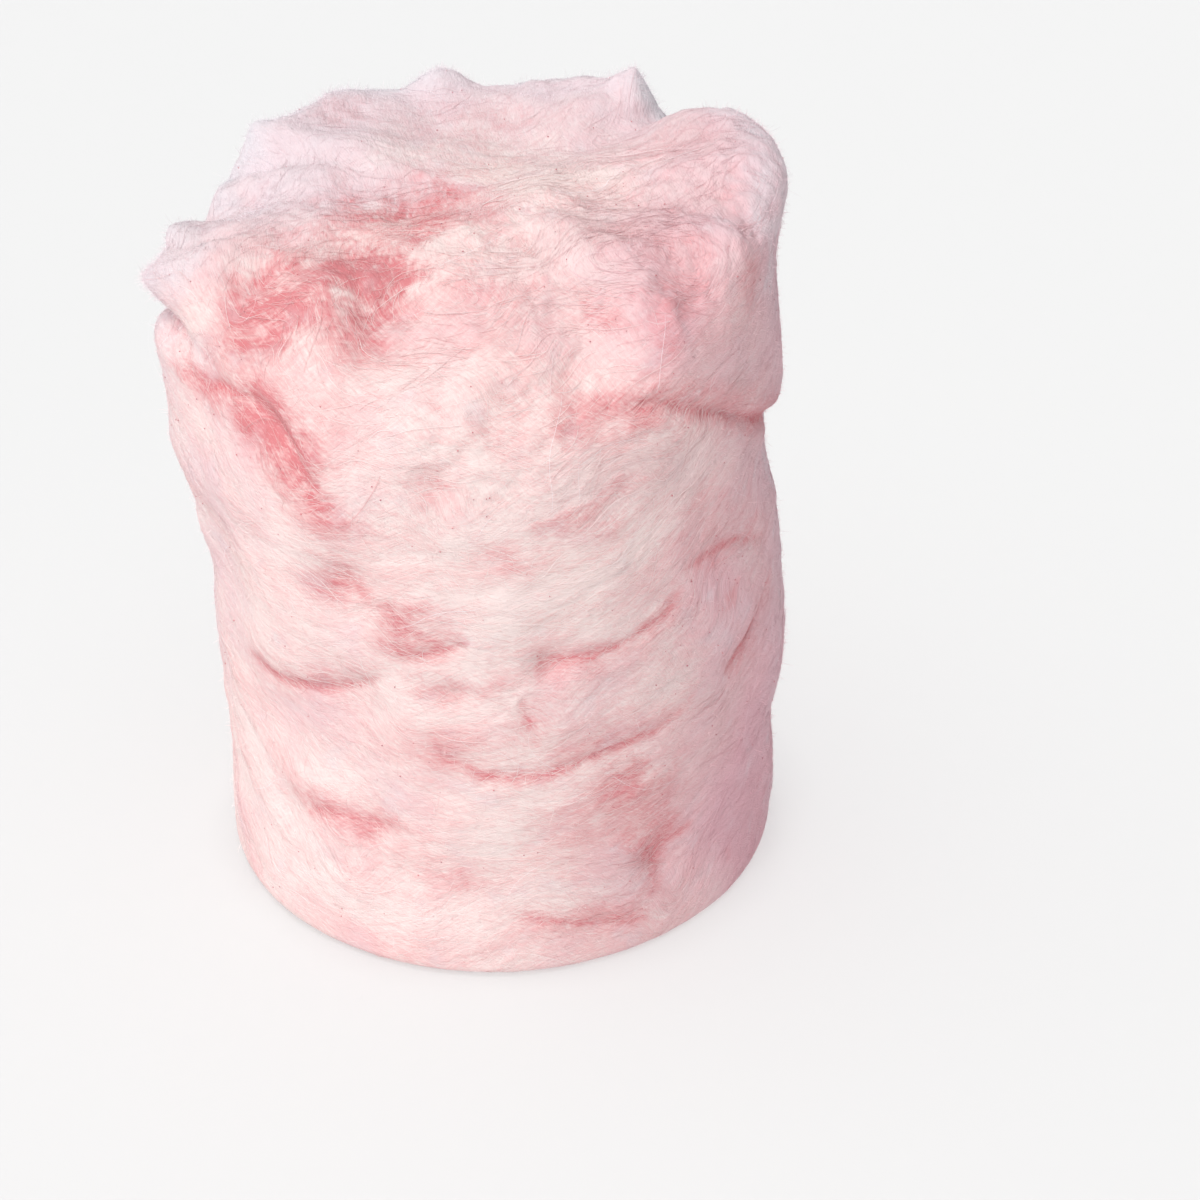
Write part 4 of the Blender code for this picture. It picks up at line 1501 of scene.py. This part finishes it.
class FLOSS_OT_stage(bpy.types.Operator):
    """The pale floor, the soft studio light and the camera"""

    bl_idname = "floss.stage"
    bl_label = "Stage"

    def execute(self, context):
        net, stage = skin_net(), context.scene.floss_stage
        floor = cove(stage)
        floor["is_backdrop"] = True
        lit = {"block": bpy.data.collections.new("lit_block"), "floor": bpy.data.collections.new("lit_floor")}
        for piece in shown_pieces():
            lit["block"].objects.link(piece)
        lit["floor"].objects.link(floor)
        for name, bearing, height, softness, strength, colour, target in LAMPS:
            light = bpy.data.lights.new(name, "SUN")
            light.angle = math.radians(softness)
            light.energy, light.color = strength * stage.light, colour
            lamp = bpy.data.objects.new(name, light)
            turn, rise = math.radians(bearing), math.radians(height)
            away = Vector((math.sin(turn) * math.cos(rise), -math.cos(turn) * math.cos(rise), math.sin(rise)))
            lamp.location = away
            lamp.rotation_euler = (-away).to_track_quat("-Z", "Y").to_euler()
            context.scene.collection.objects.link(lamp)
            lamp.light_linking.receiver_collection = lit["block" if target == "block" else "floor"]
            if target == "floor":
                lamp.light_linking.blocker_collection = lit["floor"]
        world = bpy.data.worlds.new("studio_air")
        world.use_nodes = True
        air = world.node_tree.nodes["Background"]
        air.inputs["Color"].default_value = (1.0, 1.0, 1.0, 1.0)
        air.inputs["Strength"].default_value = stage.air
        context.scene.world = world
        context.scene.view_settings.view_transform = "Standard"
        data = bpy.data.cameras.new("photo_camera")
        data.lens, data.sensor_width = CAMERA_LENS, CAMERA_SENSOR
        camera = bpy.data.objects.new("photo_camera", data)
        shift = Vector(net.shift) * MM
        camera.location = Vector(CAMERA_PLACE) - shift
        camera.rotation_euler = (math.radians(90.0 - CAMERA_DIP), 0.0, 0.0)
        context.scene.collection.objects.link(camera)
        context.scene.camera = camera
        return {"FINISHED"}


def cove(stage):
    """A round floor that curves up into a low wall far behind the block."""
    rings, sides = FLOOR_RINGS, 96
    turns = 2 * np.pi * np.arange(sides) / sides
    places = [np.stack([r * np.sin(turns), r * np.cos(turns), np.full(sides, h)], axis=1) for r, h in rings]
    places = np.concatenate([*places, [[0.0, 0.0, 0.0]]]) / MM
    here, after = np.arange(sides), (np.arange(sides) + 1) % sides
    faces = []
    for j in range(len(rings) - 1):
        a, b = j * sides + here, j * sides + after
        faces += [np.stack([b, a, a + sides], axis=1), np.stack([b, a + sides, b + sides], axis=1)]
    faces.append(np.stack([here, after, np.full(sides, len(places) - 1)], axis=1))
    floor = write_mesh("studio_floor", places, np.concatenate(faces), {})
    material = bpy.data.materials.new("floor_paper")
    material.use_nodes = True
    shader = material.node_tree.nodes["Principled BSDF"]
    shader.inputs["Base Color"].default_value = (*stage.floor, 1.0)
    shader.inputs["Roughness"].default_value = 0.9
    shader.inputs["Specular IOR Level"].default_value = 0.1
    floor.data.materials.append(material)
    return floor


class FlossStage(bpy.types.PropertyGroup):
    """The floor and the light."""

    floor: bpy.props.FloatVectorProperty(
        name="Floor", description="Colour of the floor", default=(0.45, 0.45, 0.45),
        size=3, min=0.0, max=1.0, subtype="COLOR",
    )
    light: bpy.props.FloatProperty(
        name="Light", description="Strength of the lamps, as a share of the usual", default=1.0, min=0.0,
    )
    air: bpy.props.FloatProperty(
        name="Air", description="Strength of the even light from all round", default=0.22, min=0.0,
    )


class FLOSS_PT_panel(bpy.types.Panel):
    """Shows the block's settings and the buttons that build its pieces"""

    bl_idname = "FLOSS_PT_panel"
    bl_label = "Cotton candy"
    bl_space_type = "VIEW_3D"
    bl_region_type = "UI"
    bl_category = "Floss"

    def draw(self, context):
        for group in ("floss_shape", "floss_fibres", "floss_colours", "floss_stage"):
            settings = getattr(context.scene, group)
            for name in settings.__annotations__:
                self.layout.prop(settings, name)
        for operator in OPERATORS:
            self.layout.operator(operator.bl_idname)


GROUPS = {
    "floss_shape": FlossShape,
    "floss_fibres": FlossFibres,
    "floss_colours": FlossColours,
    "floss_stage": FlossStage,
}
OPERATORS = (
    FLOSS_OT_body,
    FLOSS_OT_matted,
    FLOSS_OT_fuzz,
    FLOSS_OT_wisps,
    FLOSS_OT_hairs,
    FLOSS_OT_grains,
    FLOSS_OT_stage,
)


def register():
    for kind in (*GROUPS.values(), *OPERATORS, FLOSS_PT_panel):
        bpy.utils.register_class(kind)
    for name, kind in GROUPS.items():
        setattr(bpy.types.Scene, name, bpy.props.PointerProperty(type=kind))


def unregister():
    for name in GROUPS:
        delattr(bpy.types.Scene, name)
    for kind in (FLOSS_PT_panel, *reversed(OPERATORS), *reversed(tuple(GROUPS.values()))):
        bpy.utils.unregister_class(kind)


def main():
    register()
    bpy.ops.floss.body()
    bpy.ops.floss.matted()
    bpy.ops.floss.fuzz()
    bpy.ops.floss.wisps()
    bpy.ops.floss.hairs()
    bpy.ops.floss.grains()
    bpy.ops.floss.stage()


if __name__ == "__main__":
    main()
